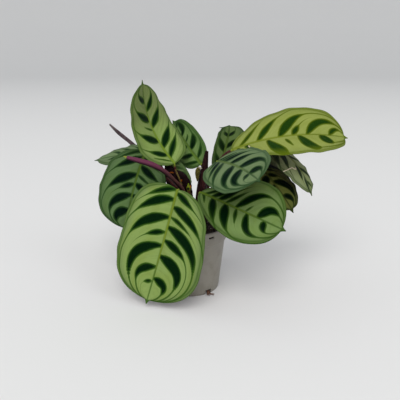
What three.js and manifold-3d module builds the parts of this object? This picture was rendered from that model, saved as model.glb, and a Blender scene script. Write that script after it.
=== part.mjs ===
// A young striped prayer plant (ctenanthe "Amagris") standing in its small white plastic pot.
// Millimetres, Z up, origin at the centre of the pot's flat underside, plant seen from -Y.
import * as THREE from "three";
import { mergeVertices } from "three/addons/utils/BufferGeometryUtils.js";
import Module from "manifold-3d";

const wasm = await Module();
wasm.setup();

// Pot: a 5.5 cm round nursery pot
const POT_HEIGHT = 50;
const RIM_RADIUS = 27.5;
const RIM_BAND = 10;
const BODY_TOP_RADIUS = 26.3;
const BODY_FOOT_RADIUS = 21.8;
const WALL = 1.2;
const FLOOR = 1.2;
const ROUND_STEPS = 40;
const DRAIN_SLOTS = 6;
const DRAIN_AZIMUTH = -52;
const DRAIN_WIDTH = 5;
const DRAIN_HEIGHT = 3.5;
const RIM_SLOTS = 4;
const RIM_SLOT_AZIMUTH = -55;
const RIM_SLOT_WIDTH = 4.5;
const RIM_SLOT_BOTTOM = 45.6;
const RIM_SLOT_HEIGHT = 1.5;

// Soil
const GAP = 0.3;
const SOIL_TOP = 45;
const SOIL_CROWN = 0.6;

// Leaf blades
const LEAF_THICKNESS = 0.7;
const MIDRIB_DEPTH = 1.0;
const MIDRIB_HALF = 1.2;
const STALK_END_HALF = 1.2;
const DRIP_TIP = 3;
const ROWS_ALONG = 12;
const COLUMNS_PER_HALF = [0.22, 0.48, 0.74, 1];
const PATH_STEPS = 60;

// Each leaf: base point, length, half widths left and right of the midrib, heading and rise of the
// midrib at the base in degrees, droop and turn along its length, roll and twist about it, the
// fold of the halves at base and tip, the curl of each half, where it is widest, how blunt it is
const LEAVES = {
  leaf_front: {
    base: [-7.5, -21, 84.5], length: 82, left: 34, right: 33,
    heading: 225, rise: -69, droop: -1, turn: 4, roll: -10, twist: -13,
    foldBase: 23, foldTip: 7, curl: 17, widest: 0.49, blunt: 3.1, stalkAngle: 80,
  },
  leaf_left: {
    base: [-32, 6, 103.5], length: 59, left: 26, right: 28,
    heading: 216, rise: -63, droop: 14, turn: 9, roll: -19, twist: -17,
    foldBase: 16, foldTip: 9, curl: 24, widest: 0.48, blunt: 2.7, stalkAngle: 80,
  },
  leaf_far_left: {
    base: [-24.5, 25, 98.5], length: 49, left: 13, right: 14,
    heading: 175, rise: 0, droop: 15, turn: -1, roll: -30, twist: 13,
    foldBase: 13, foldTip: 8, curl: 29, widest: 0.47, blunt: 2.2, stalkAngle: 20,
  },
  leaf_tall: {
    base: [-10.5, -4, 96], length: 64, left: 22, right: 23,
    heading: 142, rise: 37, droop: -54, turn: 18, roll: -12, twist: 15,
    foldBase: 18, foldTip: 22, curl: 30, widest: 0.48, blunt: 2.8, stalkAngle: 20,
  },
  leaf_back_left: {
    base: [8.5, 10, 93], length: 52, left: 14, right: 13,
    heading: 126, rise: 30, droop: 1, turn: -13, roll: -51, twist: -17,
    foldBase: 11, foldTip: 10, curl: 30, widest: 0.46, blunt: 2.3, stalkAngle: 25,
  },
  leaf_back_small: {
    base: [-14.5, 3, 97.5], length: 24, left: 6, right: 6,
    heading: 352, rise: -53, droop: 2, turn: 0, roll: 70, twist: 0,
    foldBase: 12, foldTip: 10, curl: 20, widest: 0.48, blunt: 2.3, stalkAngle: 85,
  },
  leaf_back_right: {
    base: [22, 20, 81], length: 56, left: 10, right: 16,
    heading: 63, rise: 61, droop: 46, turn: 24, roll: 21, twist: -20,
    foldBase: 16, foldTip: 15, curl: 27, widest: 0.47, blunt: 2.6, stalkAngle: 10,
  },
  leaf_centre_right: {
    base: [10, -8, 99.5], length: 60, left: 23, right: 22,
    heading: 307, rise: 13, droop: 27, turn: -9, roll: 22, twist: 15,
    foldBase: 12, foldTip: 9, curl: 38, widest: 0.51, blunt: 2.5, stalkAngle: 50,
  },
  leaf_top_right: {
    base: [30, 0, 105], length: 83, left: 28, right: 25,
    heading: -5, rise: 24, droop: 34, turn: 9, roll: 22, twist: 14,
    foldBase: 12, foldTip: 21, curl: 16, widest: 0.54, blunt: 2.3, stalkAngle: 15,
  },
  leaf_low_right: {
    base: [7.5, -9, 76.5], length: 70, left: 28, right: 24,
    heading: 318, rise: -8, droop: 3, turn: 0, roll: 14, twist: 36,
    foldBase: 12, foldTip: 13, curl: 25, widest: 0.53, blunt: 1.8, stalkAngle: 30,
  },
  leaf_shaded_right: {
    base: [43.5, 18, 97.5], length: 54, left: 19, right: 19,
    heading: 317, rise: -27, droop: 21, turn: -6, roll: 8, twist: 2,
    foldBase: 11, foldTip: 8, curl: 31, widest: 0.48, blunt: 2.4, stalkAngle: 30,
  },
  leaf_far_right: {
    base: [53, 20, 107.5], length: 55, left: 15, right: 15,
    heading: 331, rise: -18, droop: 39, turn: -11, roll: -2, twist: 3,
    foldBase: 12, foldTip: 10, curl: 28, widest: 0.49, blunt: 2.3, stalkAngle: 30,
  },
};

// Stalks: points along each one as x, y, z, radius; leaf stalks run on from here to their blade
const STALK_RADIUS = 1.2;
const SHEATH_LEFT = [[-1, 2, 31, 4], [-1, 2.5, 50, 4.2], [-2, 4, 68, 4], [-5, 7, 80, 3.2], [-8, 9, 88, 2.2]];
const SHEATH_RIGHT = [[8, 2, 31, 4], [8, 2, 50, 4.2], [8, 2, 68, 3.9], [10, 2.5, 86, 3.2], [12.5, 3.5, 104, 1.2]];
const STALKS_LEFT = {
  leaf_front: [[-1, 0, 52, 1.6], [0, -10, 64, 1.4], [-1.5, -14, 75, 1.4]],
  leaf_left: [[-3, 4, 74, 1.6], [-14, 5, 88, 1.4]],
  leaf_far_left: [[-4, 6, 76, 1.6], [-13, 18, 92, 1.4]],
  leaf_tall: [[-3, 1, 70, 1.6], [-6.5, -4.5, 84, 1.4]],
  leaf_back_small: [[-7, 8, 84, 1.4]],
};
const STALKS_RIGHT = {
  leaf_back_left: [[8.5, 2.5, 76, 1.6]],
  leaf_back_right: [[8, 4, 62, 1.6], [16, 14, 66, 1.4]],
  leaf_centre_right: [[10, 0, 80, 1.6], [10.5, -3, 90, 1.4]],
  leaf_top_right: [[10, 3, 82, 1.6], [22, 2, 97, 1.4]],
  leaf_low_right: [[7, 1, 62, 1.6]],
  leaf_shaded_right: [[9, 4, 72, 1.6], [24, 13, 88, 1.4]],
  leaf_far_right: [[10, 4, 82, 1.6], [26, 10, 96, 1.4], [38, 17, 101, 1.3]],
};
const DRY_STALK = [[-5.5, -3.5, 81, 0.7], [-6.5, -6.5, 84.5, 0.7], [-8, -8, 88, 0.7], [-10.5, -8, 92.5, 0.6]];
const DRY_FLAP = [[10.5, 1.5, 95, 1], [8, -1, 95, 1], [6.5, -2.5, 91.5, 1.4], [6, -2.5, 87, 1.2], [6, -2.5, 83, 0.5]];

// Leaves still rolled into spears, and a bud, each standing in its own hole in the soil
const ROLL_FRONT = [
  [-6, -5, 31, 2.6], [-5.5, -6, 56, 2.6], [-4.5, -10, 77.5, 2.4], [-11, -14, 86, 2.6],
  [-17.5, -16.5, 93.5, 2.4], [-26, -19, 99, 2.1], [-35, -20, 102, 1.9], [-42, -20, 104, 1.5], [-44.5, -20, 105, 0.4],
];
const ROLL_BACK = [
  [0, 10, 31, 2.4], [-2, 13, 50, 2.4], [-9, 21, 68, 2.4], [-21, 31, 81, 2.2],
  [-36, 40, 92.5, 2.1], [-49.5, 47, 103, 1.9], [-59.5, 50, 111, 1.6], [-66, 51, 117, 0.8],
];
const BUD = [[5, -5, 31, 1.6], [4.5, -5, 60, 1.6], [-0.5, -4.5, 77, 1.4], [-1, -4, 82, 0.3]];

// Roots that have found a drain slot: distance from the pot's axis, sideways, height, radius
const ROOT_LONG = [[21, 0.4, 2, 0.6], [22.6, 0.6, 1.7, 0.6], [24, 0.2, 1, 0.6], [25.4, 1.2, 0.8, 0.5], [26, 2.6, 0.6, 0.35]];
const ROOT_SHORT = [[21, 0.4, 2, 0.6], [22.4, -0.8, 1.8, 0.7], [23.8, -1.6, 1, 0.7], [24.6, -2.4, 0.9, 0.4]];

const TUBE_SIDES = 8;
const ROLL_SIDES = 10;
const TUBE_STEPS = 3;

const rad = THREE.MathUtils.degToRad;

function solid(positions, triangles) {
  const geometry = new THREE.BufferGeometry();
  geometry.setAttribute("position", new THREE.Float32BufferAttribute(positions.flat(), 3));
  geometry.setIndex(triangles.flat());
  return geometry;
}

// A closed sheet between two grids of points that share one layout
function closedSheet(rows, columns, top, bottom) {
  const across = columns + 1;
  const below = (rows + 1) * across;
  const at = (i, j) => i * across + j;
  const triangles = [];
  for (let i = 0; i < rows; i++) {
    for (let j = 0; j < columns; j++) {
      const a = at(i, j);
      const b = at(i + 1, j);
      const c = at(i + 1, j + 1);
      const d = at(i, j + 1);
      triangles.push([a, b, c], [a, c, d]);
      triangles.push([a + below, c + below, b + below], [a + below, d + below, c + below]);
    }
  }
  const rim = (p, q) => triangles.push([p, q, q + below], [p, q + below, p + below]);
  for (let i = 0; i < rows; i++) {
    rim(at(i + 1, 0), at(i, 0));
    rim(at(i, columns), at(i + 1, columns));
  }
  for (let j = 0; j < columns; j++) {
    rim(at(0, j), at(0, j + 1));
    rim(at(rows, j + 1), at(rows, j));
  }
  return solid([...top, ...bottom], triangles);
}

// The midrib's place and axes at a share t of the leaf's length
function midribFrame(leaf, t) {
  const direction = (u) => {
    const heading = rad(leaf.heading + leaf.turn * u);
    const rise = rad(leaf.rise - leaf.droop * u);
    return new THREE.Vector3(
      Math.cos(rise) * Math.cos(heading),
      Math.cos(rise) * Math.sin(heading),
      Math.sin(rise),
    );
  };
  const place = new THREE.Vector3(...leaf.base);
  for (let k = 0; k < PATH_STEPS; k++) {
    place.addScaledVector(direction(((k + 0.5) * t) / PATH_STEPS), (leaf.length * t) / PATH_STEPS);
  }
  const along = direction(t);
  const heading = rad(leaf.heading + leaf.turn * t);
  const level = new THREE.Vector3(-Math.sin(heading), Math.cos(heading), 0);
  const upright = new THREE.Vector3().crossVectors(along, level);
  const roll = rad(leaf.roll + leaf.twist * Math.min(t, 1));
  const side = level.clone().multiplyScalar(Math.cos(roll)).addScaledVector(upright, Math.sin(roll));
  const up = upright.clone().multiplyScalar(Math.cos(roll)).addScaledVector(level, -Math.sin(roll));
  return { place, along, side, up };
}

// Half width of the blade at t, on the left (1) or right (-1) of the midrib
function halfWidth(leaf, t, hand) {
  const full = hand > 0 ? leaf.left : leaf.right;
  const inside = Math.min(Math.max(t, 0), 1);
  const u = 2 * Math.pow(inside, Math.log(0.5) / Math.log(leaf.widest)) - 1;
  const oval = full * Math.sqrt(Math.max(0, 1 - Math.pow(Math.abs(u), leaf.blunt)));
  const toEnd = Math.max(0, leaf.length * (1 - t) + DRIP_TIP);
  const tip = t > 0.9 ? 0.3 + 0.3 * toEnd + 0.08 * toEnd * toEnd : 0;
  const foot = t < 0.03 ? STALK_END_HALF : 0;
  return Math.max(oval, Math.min(tip, full), foot);
}

// One row across the blade: points and normals from the right margin to the left
function bladeRow(leaf, t) {
  const frame = midribFrame(leaf, t);
  const fold = rad(leaf.foldBase + (leaf.foldTip - leaf.foldBase) * Math.min(t, 1));
  const curl = rad(leaf.curl);
  const row = [];
  const put = (hand, share) => {
    const width = halfWidth(leaf, t, hand);
    const bend = fold - curl * share;
    const out = (width * (Math.sin(fold) - Math.sin(bend))) / curl;
    const lift = (width * (Math.cos(bend) - Math.cos(fold))) / curl;
    const point = frame.place.clone().addScaledVector(frame.side, hand * out).addScaledVector(frame.up, lift);
    const normal = frame.up.clone().multiplyScalar(Math.cos(bend));
    if (share > 0) {
      normal.addScaledVector(frame.side, -hand * Math.sin(bend));
    }
    row.push({ point, normal, share });
  };
  for (const hand of [-1, 1]) {
    const rib = Math.min(0.5, MIDRIB_HALF / halfWidth(leaf, t, hand));
    const shares = [rib, ...COLUMNS_PER_HALF.map((c) => rib + (1 - rib) * c)];
    if (hand < 0) {
      shares.reverse();
    }
    shares.forEach((share) => put(hand, share));
    if (hand < 0) {
      put(1, 0);
    }
  }
  return row;
}

function blade(leaf) {
  const stations = [];
  for (let i = 0; i <= ROWS_ALONG; i++) {
    stations.push((1 - Math.cos((Math.PI * i) / ROWS_ALONG)) / 2);
  }
  stations.push(1 + DRIP_TIP / leaf.length);
  const top = [];
  const bottom = [];
  for (const t of stations) {
    const ribDepth = MIDRIB_DEPTH * Math.pow(Math.max(0, 1 - t), 0.7);
    for (const { point, normal, share } of bladeRow(leaf, t)) {
      const depth = LEAF_THICKNESS / 2 + (share === 0 ? ribDepth : 0);
      top.push(point.clone().addScaledVector(normal, LEAF_THICKNESS / 2).toArray());
      bottom.push(point.clone().addScaledVector(normal, -depth).toArray());
    }
  }
  return closedSheet(stations.length - 1, 2 * COLUMNS_PER_HALF.length + 2, top, bottom);
}

// A closed round rod through points given as x, y, z, radius
function rod(points, sides, grow = 0) {
  const line = new THREE.CatmullRomCurve3(points.map((p) => new THREE.Vector3(p[0], p[1], p[2])));
  const steps = (points.length - 1) * TUBE_STEPS;
  const positions = [];
  const triangles = [];
  let side = new THREE.Vector3(1, 0, 0);
  for (let i = 0; i <= steps; i++) {
    const share = i / steps;
    const place = line.getPoint(share);
    const along = line.getTangent(share);
    if (i === 0) {
      place.addScaledVector(along, -grow);
    }
    side = side.clone().addScaledVector(along, -side.dot(along)).normalize();
    const other = new THREE.Vector3().crossVectors(along, side);
    const span = Math.min(share * (points.length - 1), points.length - 1.0001);
    const k = Math.floor(span);
    const radius = grow + points[k][3] + (points[k + 1][3] - points[k][3]) * (span - k);
    for (let j = 0; j < sides; j++) {
      const angle = (2 * Math.PI * j) / sides;
      const ring = place.clone().addScaledVector(side, radius * Math.cos(angle));
      positions.push(ring.addScaledVector(other, radius * Math.sin(angle)).toArray());
    }
  }
  for (let i = 0; i < steps; i++) {
    for (let j = 0; j < sides; j++) {
      const a = i * sides + j;
      const b = i * sides + ((j + 1) % sides);
      triangles.push([a, b, b + sides], [a, b + sides, a + sides]);
    }
  }
  const last = steps * sides;
  for (let j = 1; j < sides - 1; j++) {
    triangles.push([0, j + 1, j], [last, last + j, last + j + 1]);
  }
  return solid(positions, triangles);
}

// A body turned about the Z axis from an outline of radius, height pairs
function turned(outline) {
  const positions = [];
  const triangles = [];
  for (const [radius, height] of outline) {
    for (let j = 0; j < ROUND_STEPS; j++) {
      const angle = (2 * Math.PI * j) / ROUND_STEPS;
      positions.push([radius * Math.cos(angle), radius * Math.sin(angle), height]);
    }
  }
  for (let k = 0; k < outline.length - 1; k++) {
    for (let j = 0; j < ROUND_STEPS; j++) {
      const a = k * ROUND_STEPS + j;
      const b = k * ROUND_STEPS + ((j + 1) % ROUND_STEPS);
      if (outline[k][0] > 0) {
        triangles.push([a, b, b + ROUND_STEPS]);
      }
      if (outline[k + 1][0] > 0) {
        triangles.push([a, b + ROUND_STEPS, a + ROUND_STEPS]);
      }
    }
  }
  return solid(positions, triangles);
}

function toManifold(geometry) {
  const merged = mergeVertices(geometry, 1e-4);
  return new wasm.Manifold(new wasm.Mesh({
    numProp: 3,
    vertProperties: new Float32Array(merged.attributes.position.array),
    triVerts: new Uint32Array(merged.index.array),
  }));
}

function fromManifold(body) {
  const mesh = body.getMesh();
  const geometry = new THREE.BufferGeometry();
  geometry.setAttribute("position", new THREE.BufferAttribute(new Float32Array(mesh.vertProperties), 3));
  geometry.setIndex(new THREE.BufferAttribute(new Uint32Array(mesh.triVerts), 1));
  return geometry;
}

function block(inner, outer, width, bottom, top, azimuth) {
  const box = new THREE.BoxGeometry(outer - inner, width, top - bottom);
  box.deleteAttribute("normal");
  box.deleteAttribute("uv");
  box.translate((outer + inner) / 2, 0, (top + bottom) / 2);
  box.rotateZ(rad(azimuth));
  return toManifold(box);
}

const group = new THREE.Group();

function add(name, geometry, colour, roughness, metalness = 0) {
  geometry.computeVertexNormals();
  const material = new THREE.MeshStandardMaterial({ color: colour, roughness, metalness, flatShading: true });
  const mesh = new THREE.Mesh(geometry, material);
  mesh.name = name;
  group.add(mesh);
}

// Pot: thin turned wall with a stepped rim band, rim slots and drain slots at the foot
const potTop = POT_HEIGHT;
const bandFoot = POT_HEIGHT - RIM_BAND;
let pot = toManifold(turned([
  [0, 0], [BODY_FOOT_RADIUS - 0.5, 0], [BODY_FOOT_RADIUS, 0.5],
  [BODY_TOP_RADIUS, bandFoot], [RIM_RADIUS - 0.3, bandFoot], [RIM_RADIUS, bandFoot + 0.4],
  [RIM_RADIUS, potTop - 0.4], [RIM_RADIUS - 0.4, potTop],
  [RIM_RADIUS - WALL + 0.2, potTop], [RIM_RADIUS - WALL - 0.1, potTop - 0.4],
  [RIM_RADIUS - WALL - 0.2, bandFoot + 2], [BODY_TOP_RADIUS - WALL, bandFoot],
  [BODY_FOOT_RADIUS - WALL, FLOOR], [0, FLOOR],
]));
for (let k = 0; k < DRAIN_SLOTS; k++) {
  const azimuth = DRAIN_AZIMUTH + (360 * k) / DRAIN_SLOTS;
  pot = pot.subtract(block(17, 26, DRAIN_WIDTH, -1, DRAIN_HEIGHT, azimuth));
}
for (let k = 0; k < RIM_SLOTS; k++) {
  const azimuth = RIM_SLOT_AZIMUTH + (360 * k) / RIM_SLOTS;
  const top = RIM_SLOT_BOTTOM + RIM_SLOT_HEIGHT;
  pot = pot.subtract(block(24, 30, RIM_SLOT_WIDTH, RIM_SLOT_BOTTOM, top, azimuth));
}
add("pot", fromManifold(pot), 0xd9d8d6, 0.55);

// Soil: fills the pot, with a hole for every shoot that stands in it
let soil = toManifold(turned([
  [0, FLOOR + GAP], [BODY_FOOT_RADIUS - WALL - GAP, FLOOR + GAP],
  [BODY_TOP_RADIUS - WALL - GAP, bandFoot], [RIM_RADIUS - WALL - 0.8, bandFoot + 2.2],
  [RIM_RADIUS - WALL - 0.7, SOIL_TOP - 0.4], [RIM_RADIUS - WALL - 2, SOIL_TOP],
  [0, SOIL_TOP + SOIL_CROWN],
]));
for (const shoot of [SHEATH_LEFT, SHEATH_RIGHT, ROLL_FRONT, ROLL_BACK, BUD]) {
  const sides = shoot === ROLL_FRONT || shoot === ROLL_BACK ? ROLL_SIDES : TUBE_SIDES;
  soil = soil.subtract(toManifold(rod(shoot, sides, GAP)));
}
add("soil", fromManifold(soil), 0x2a1f18, 0.95);

// Roots: two tips growing out of one drain slot
const placeRoot = (points) => points.map(([out, side, z, r]) => {
  const c = Math.cos(rad(DRAIN_AZIMUTH));
  const s = Math.sin(rad(DRAIN_AZIMUTH));
  return [out * c - side * s, out * s + side * c, z, r];
});
const rootLong = toManifold(rod(placeRoot(ROOT_LONG), 6));
const rootShort = toManifold(rod(placeRoot(ROOT_SHORT), 6));
add("root_tips", fromManifold(rootLong.add(rootShort)), 0x4a3226, 0.85);

// Leaf stalks: they clasp one another at the foot of each shoot and grow together there
function stalkTo(leaf, points) {
  const { place, along, up } = midribFrame(leaf, 0);
  const angle = rad(leaf.stalkAngle);
  const aim = along.clone().multiplyScalar(Math.cos(angle)).addScaledVector(up, Math.sin(angle));
  const reach = GAP + 1.5 * Math.sin(angle);
  const end = place.clone().addScaledVector(aim, -reach);
  const before = end.clone().addScaledVector(aim, -5);
  return [...points, [...before.toArray(), STALK_RADIUS], [...end.toArray(), STALK_RADIUS]];
}

function clump(sheath, stalks, extra) {
  let body = toManifold(rod(sheath, TUBE_SIDES)).add(toManifold(rod(extra, 6)));
  for (const [name, points] of Object.entries(stalks)) {
    body = body.add(toManifold(rod(stalkTo(LEAVES[name], points), TUBE_SIDES)));
  }
  return fromManifold(body);
}
add("stalks_left", clump(SHEATH_LEFT, STALKS_LEFT, DRY_STALK), 0x3a1f22, 0.6);
add("stalks_right", clump(SHEATH_RIGHT, STALKS_RIGHT, DRY_FLAP), 0x3a1f22, 0.6);

// New growth: two leaves still rolled up, and a pointed bud
add("leaf_rolled_front", rod(ROLL_FRONT, ROLL_SIDES), 0x6d3a4e, 0.5);
add("leaf_rolled_back", rod(ROLL_BACK, ROLL_SIDES), 0x594a50, 0.6);
add("bud", rod(BUD, TUBE_SIDES), 0x8a8c2a, 0.55);

// Leaf blades
const LEAF_COLOURS = {
  leaf_front: 0x86a556, leaf_left: 0x5f8a56, leaf_far_left: 0x7f9a74, leaf_tall: 0x7a9a52,
  leaf_back_left: 0x648a52, leaf_back_small: 0x7d9c6a, leaf_back_right: 0x55783f,
  leaf_centre_right: 0x7ba078, leaf_top_right: 0x8fa255, leaf_low_right: 0x759b5b,
  leaf_shaded_right: 0x3f4e22, leaf_far_right: 0x7d8f63,
};
for (const [name, leaf] of Object.entries(LEAVES)) {
  add(name, blade(leaf), LEAF_COLOURS[name], 0.5);
}

export default group;
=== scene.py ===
"""A young striped prayer plant in its small white nursery pot.

Sizes of the plant are written in millimetres, and MM turns them into metres.
The plant is built up from the pot: soil, roots, shoots, blades, stalks, rolled leaves and bud.
"""
import math
import random

import bmesh
import bpy
import numpy as np
from mathutils import Matrix, Vector, noise


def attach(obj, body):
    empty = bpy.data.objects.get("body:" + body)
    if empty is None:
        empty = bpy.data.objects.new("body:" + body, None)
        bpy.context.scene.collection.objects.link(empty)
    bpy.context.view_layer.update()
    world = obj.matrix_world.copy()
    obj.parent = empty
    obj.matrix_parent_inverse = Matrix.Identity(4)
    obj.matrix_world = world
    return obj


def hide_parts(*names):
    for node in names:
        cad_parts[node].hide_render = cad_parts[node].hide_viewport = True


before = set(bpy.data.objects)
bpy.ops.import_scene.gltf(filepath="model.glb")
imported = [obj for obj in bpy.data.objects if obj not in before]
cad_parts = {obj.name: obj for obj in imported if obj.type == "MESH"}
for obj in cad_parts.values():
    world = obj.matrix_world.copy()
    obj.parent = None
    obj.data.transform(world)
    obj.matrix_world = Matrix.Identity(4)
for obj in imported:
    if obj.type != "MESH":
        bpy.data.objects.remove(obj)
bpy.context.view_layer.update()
MM = 0.001


# Camera, floor and light
# A hand-held camera a third of a metre in front of the pot, looking a little down on the
# leaves. A pale matt floor, a large soft lamp high in front and a little to the left, and a
# weak one on the right.
view = bpy.data.cameras.new("view")
view.lens = 43.07
view.sensor_width = 36.0
camera = bpy.data.objects.new("camera", view)
camera.location = (0.0075, -0.340, 0.170)
camera.rotation_euler = (math.radians(73.3), 0.0, 0.0)
bpy.context.scene.collection.objects.link(camera)
bpy.context.scene.camera = camera
bpy.context.scene.view_settings.view_transform = "Standard"


def turned(profile, steps):
    """A profile of radius and height pairs in metres, turned about the pot's axis."""
    bm = bmesh.new()
    verts = [bm.verts.new((r, 0, z)) for r, z in profile]
    edges = [bm.edges.new(pair) for pair in zip(verts, verts[1:])]
    bmesh.ops.spin(bm, geom=verts + edges, axis=(0, 0, 1), cent=(0, 0, 0), angle=2 * math.pi,
                   steps=steps, use_merge=True)
    bmesh.ops.remove_doubles(bm, verts=bm.verts, dist=1e-6)
    bmesh.ops.recalc_face_normals(bm, faces=bm.faces)
    return bm


def finished_mesh(bm, name, smooth=True):
    """The mesh of a shape that is done, its faces shaded smooth or flat."""
    for face in bm.faces:
        face.smooth = smooth
    mesh = bpy.data.meshes.new(name)
    bm.to_mesh(mesh)
    bm.free()
    return mesh


def new_object(name, data):
    made = bpy.data.objects.new(name, data)
    bpy.context.scene.collection.objects.link(made)
    return made


# the floor is flat for four metres round the pot, and then sweeps up as the backdrop
FLOOR_PROFILE = [(0, 0), (1, 0), (4, 0), (4.4, 0.02), (4.8, 0.08), (5.2, 0.2), (5.6, 0.4), (5.9, 0.66),
                 (6.1, 1.0), (6.2, 1.5)]
bm = turned(FLOOR_PROFILE, steps=96)
if sum(face.normal.z for face in bm.faces) < 0:
    bmesh.ops.reverse_faces(bm, faces=bm.faces)
floor = new_object("floor", finished_mesh(bm, "floor"))
floor_paint = bpy.data.materials.new("floor_paint")
floor_paint.use_nodes = True
shader = floor_paint.node_tree.nodes["Principled BSDF"]
shader.inputs["Base Color"].default_value = (0.74, 0.74, 0.74, 1.0)
shader.inputs["Roughness"].default_value = 0.9
shader.inputs["Specular IOR Level"].default_value = 0.1
floor.data.materials.append(floor_paint)

sky = bpy.data.worlds.new("sky")
sky.use_nodes = True
sky.node_tree.nodes["Background"].inputs["Color"].default_value = (0.96, 0.98, 1.0, 1.0)
sky.node_tree.nodes["Background"].inputs["Strength"].default_value = 0.62
bpy.context.scene.world = sky


def soft_lamp(name, place, size, watts, tint):
    """A round lamp that looks at the middle of the plant."""
    lamp = bpy.data.lights.new(name, "AREA")
    lamp.shape = "DISK"
    lamp.size = size
    lamp.energy = watts
    lamp.color = tint
    stand = new_object(name, lamp)
    stand.location = place
    plant_middle = Vector((0.0, 0.0, 0.08))
    stand.rotation_euler = (plant_middle - Vector(place)).to_track_quat("-Z", "Y").to_euler()


soft_lamp("key_lamp", (-0.5, -3.3, 3.5), size=3.6, watts=150.0, tint=(1.0, 0.98, 0.95))
soft_lamp("fill_lamp", (2.2, -1.8, 2.6), size=1.8, watts=12.0, tint=(0.95, 0.98, 1.0))


# Pot
# A 5.5 cm nursery pot, thermoformed from one sheet of white plastic: a stepped rim band
# with four slots, a plain tapering wall, and six drain slots cut round the foot.
BAND_FOOT = 40
BODY_TOP_RADIUS = 26.3
BODY_FOOT_RADIUS = 21.8
WALL = 1.2
POT_STEPS = 240
DRAIN_SLOTS, DRAIN_AZIMUTH, DRAIN_WIDTH, DRAIN_HEIGHT, DRAIN_INNER = 6, -52, 5.0, 3.5, 17.0
RIM_SLOTS, RIM_SLOT_AZIMUTH, RIM_SLOT_WIDTH, RIM_SLOT_INNER = 4, -55, 4.5, 24
RIM_SLOT_BOTTOM, RIM_SLOT_TOP = 45.6, 47.1
SLOT_RADIUS = 24.5
BELOW_FOOT = -0.1
CRISP_ANGLE = 50


def wall_radius(height):
    return BODY_FOOT_RADIUS + (BODY_TOP_RADIUS - BODY_FOOT_RADIUS) * height / BAND_FOOT


outside = [
    (0, 0), (9, 0), (DRAIN_INNER, 0), (20.6, 0), (21.3, 0), (21.6, 0.15), (21.78, 0.5),
    (wall_radius(2), 2), (wall_radius(DRAIN_HEIGHT), DRAIN_HEIGHT), (wall_radius(10), 10),
    (wall_radius(20), 20), (wall_radius(30), 30), (wall_radius(39.3), 39.3),
    (26.42, 39.8), (26.7, 40.0), (27.15, 40.05), (27.42, 40.3), (27.5, 40.7), (27.5, 43),
    (27.5, RIM_SLOT_BOTTOM), (27.5, RIM_SLOT_TOP), (27.5, 49.3), (27.4, 49.75), (27.15, 50),
]
inside = [
    (26.6, 50), (26.35, 49.75), (26.25, 49.3), (26.2, RIM_SLOT_TOP), (26.2, RIM_SLOT_BOTTOM),
    (26.15, 43), (26.1, 42), (25.7, 40.8), (wall_radius(39) - WALL, 39),
    (wall_radius(20) - WALL, 20), (wall_radius(DRAIN_HEIGHT) - WALL, DRAIN_HEIGHT),
    (20.6, WALL), (DRAIN_INNER, WALL), (0, WALL),
]
bm = turned([(r * MM, z * MM) for r, z in outside + inside], POT_STEPS)


def cut_slot(bm, azimuth, width, low, high, inner):
    """Opens one slot through both skins of the wall and closes its edges."""
    turn = Matrix.Rotation(math.radians(-azimuth), 3, "Z")
    back = turn.inverted()
    half = width * MM / 2
    reach = math.atan2(half, SLOT_RADIUS * MM)
    step = 2 * math.pi / POT_STEPS
    window = []
    for face in bm.faces:
        middle = turn @ face.calc_center_median()
        level = low * MM < middle.z < high * MM
        outer = math.hypot(middle.x, middle.y) > inner * MM and middle.x > 0
        if level and outer and abs(math.atan2(middle.y, middle.x)) < reach + step * 0.2:
            window.append(face)
    bmesh.ops.delete(bm, geom=window, context="FACES")
    rim = [edge for edge in bm.edges if edge.is_boundary]
    bmesh.ops.bridge_loops(bm, edges=rim)
    for vert in {v for edge in rim if edge.is_valid for v in edge.verts}:
        local = turn @ vert.co
        side = math.atan2(local.y, local.x)
        if abs(side) > reach - step * 0.8:
            local.y = math.copysign(half, side)
            vert.co = back @ local


for k in range(DRAIN_SLOTS):
    cut_slot(bm, DRAIN_AZIMUTH + 360 * k / DRAIN_SLOTS, DRAIN_WIDTH,
             BELOW_FOOT, DRAIN_HEIGHT, DRAIN_INNER)
for k in range(RIM_SLOTS):
    cut_slot(bm, RIM_SLOT_AZIMUTH + 360 * k / RIM_SLOTS, RIM_SLOT_WIDTH,
             RIM_SLOT_BOTTOM, RIM_SLOT_TOP, RIM_SLOT_INNER)
bmesh.ops.recalc_face_normals(bm, faces=bm.faces)
for edge in bm.edges:
    if len(edge.link_faces) == 2 and edge.calc_face_angle() > math.radians(CRISP_ANGLE):
        edge.smooth = False
pot_mesh = finished_mesh(bm, "pot_shell")


def srgb(red, green, blue):
    """A colour as read off a colour card, 0 to 255, for a shader socket."""
    def linear(c):
        c = c / 255
        return c / 12.92 if c <= 0.04045 else ((c + 0.055) / 1.055) ** 2.4
    return (linear(red), linear(green), linear(blue), 1.0)


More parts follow.
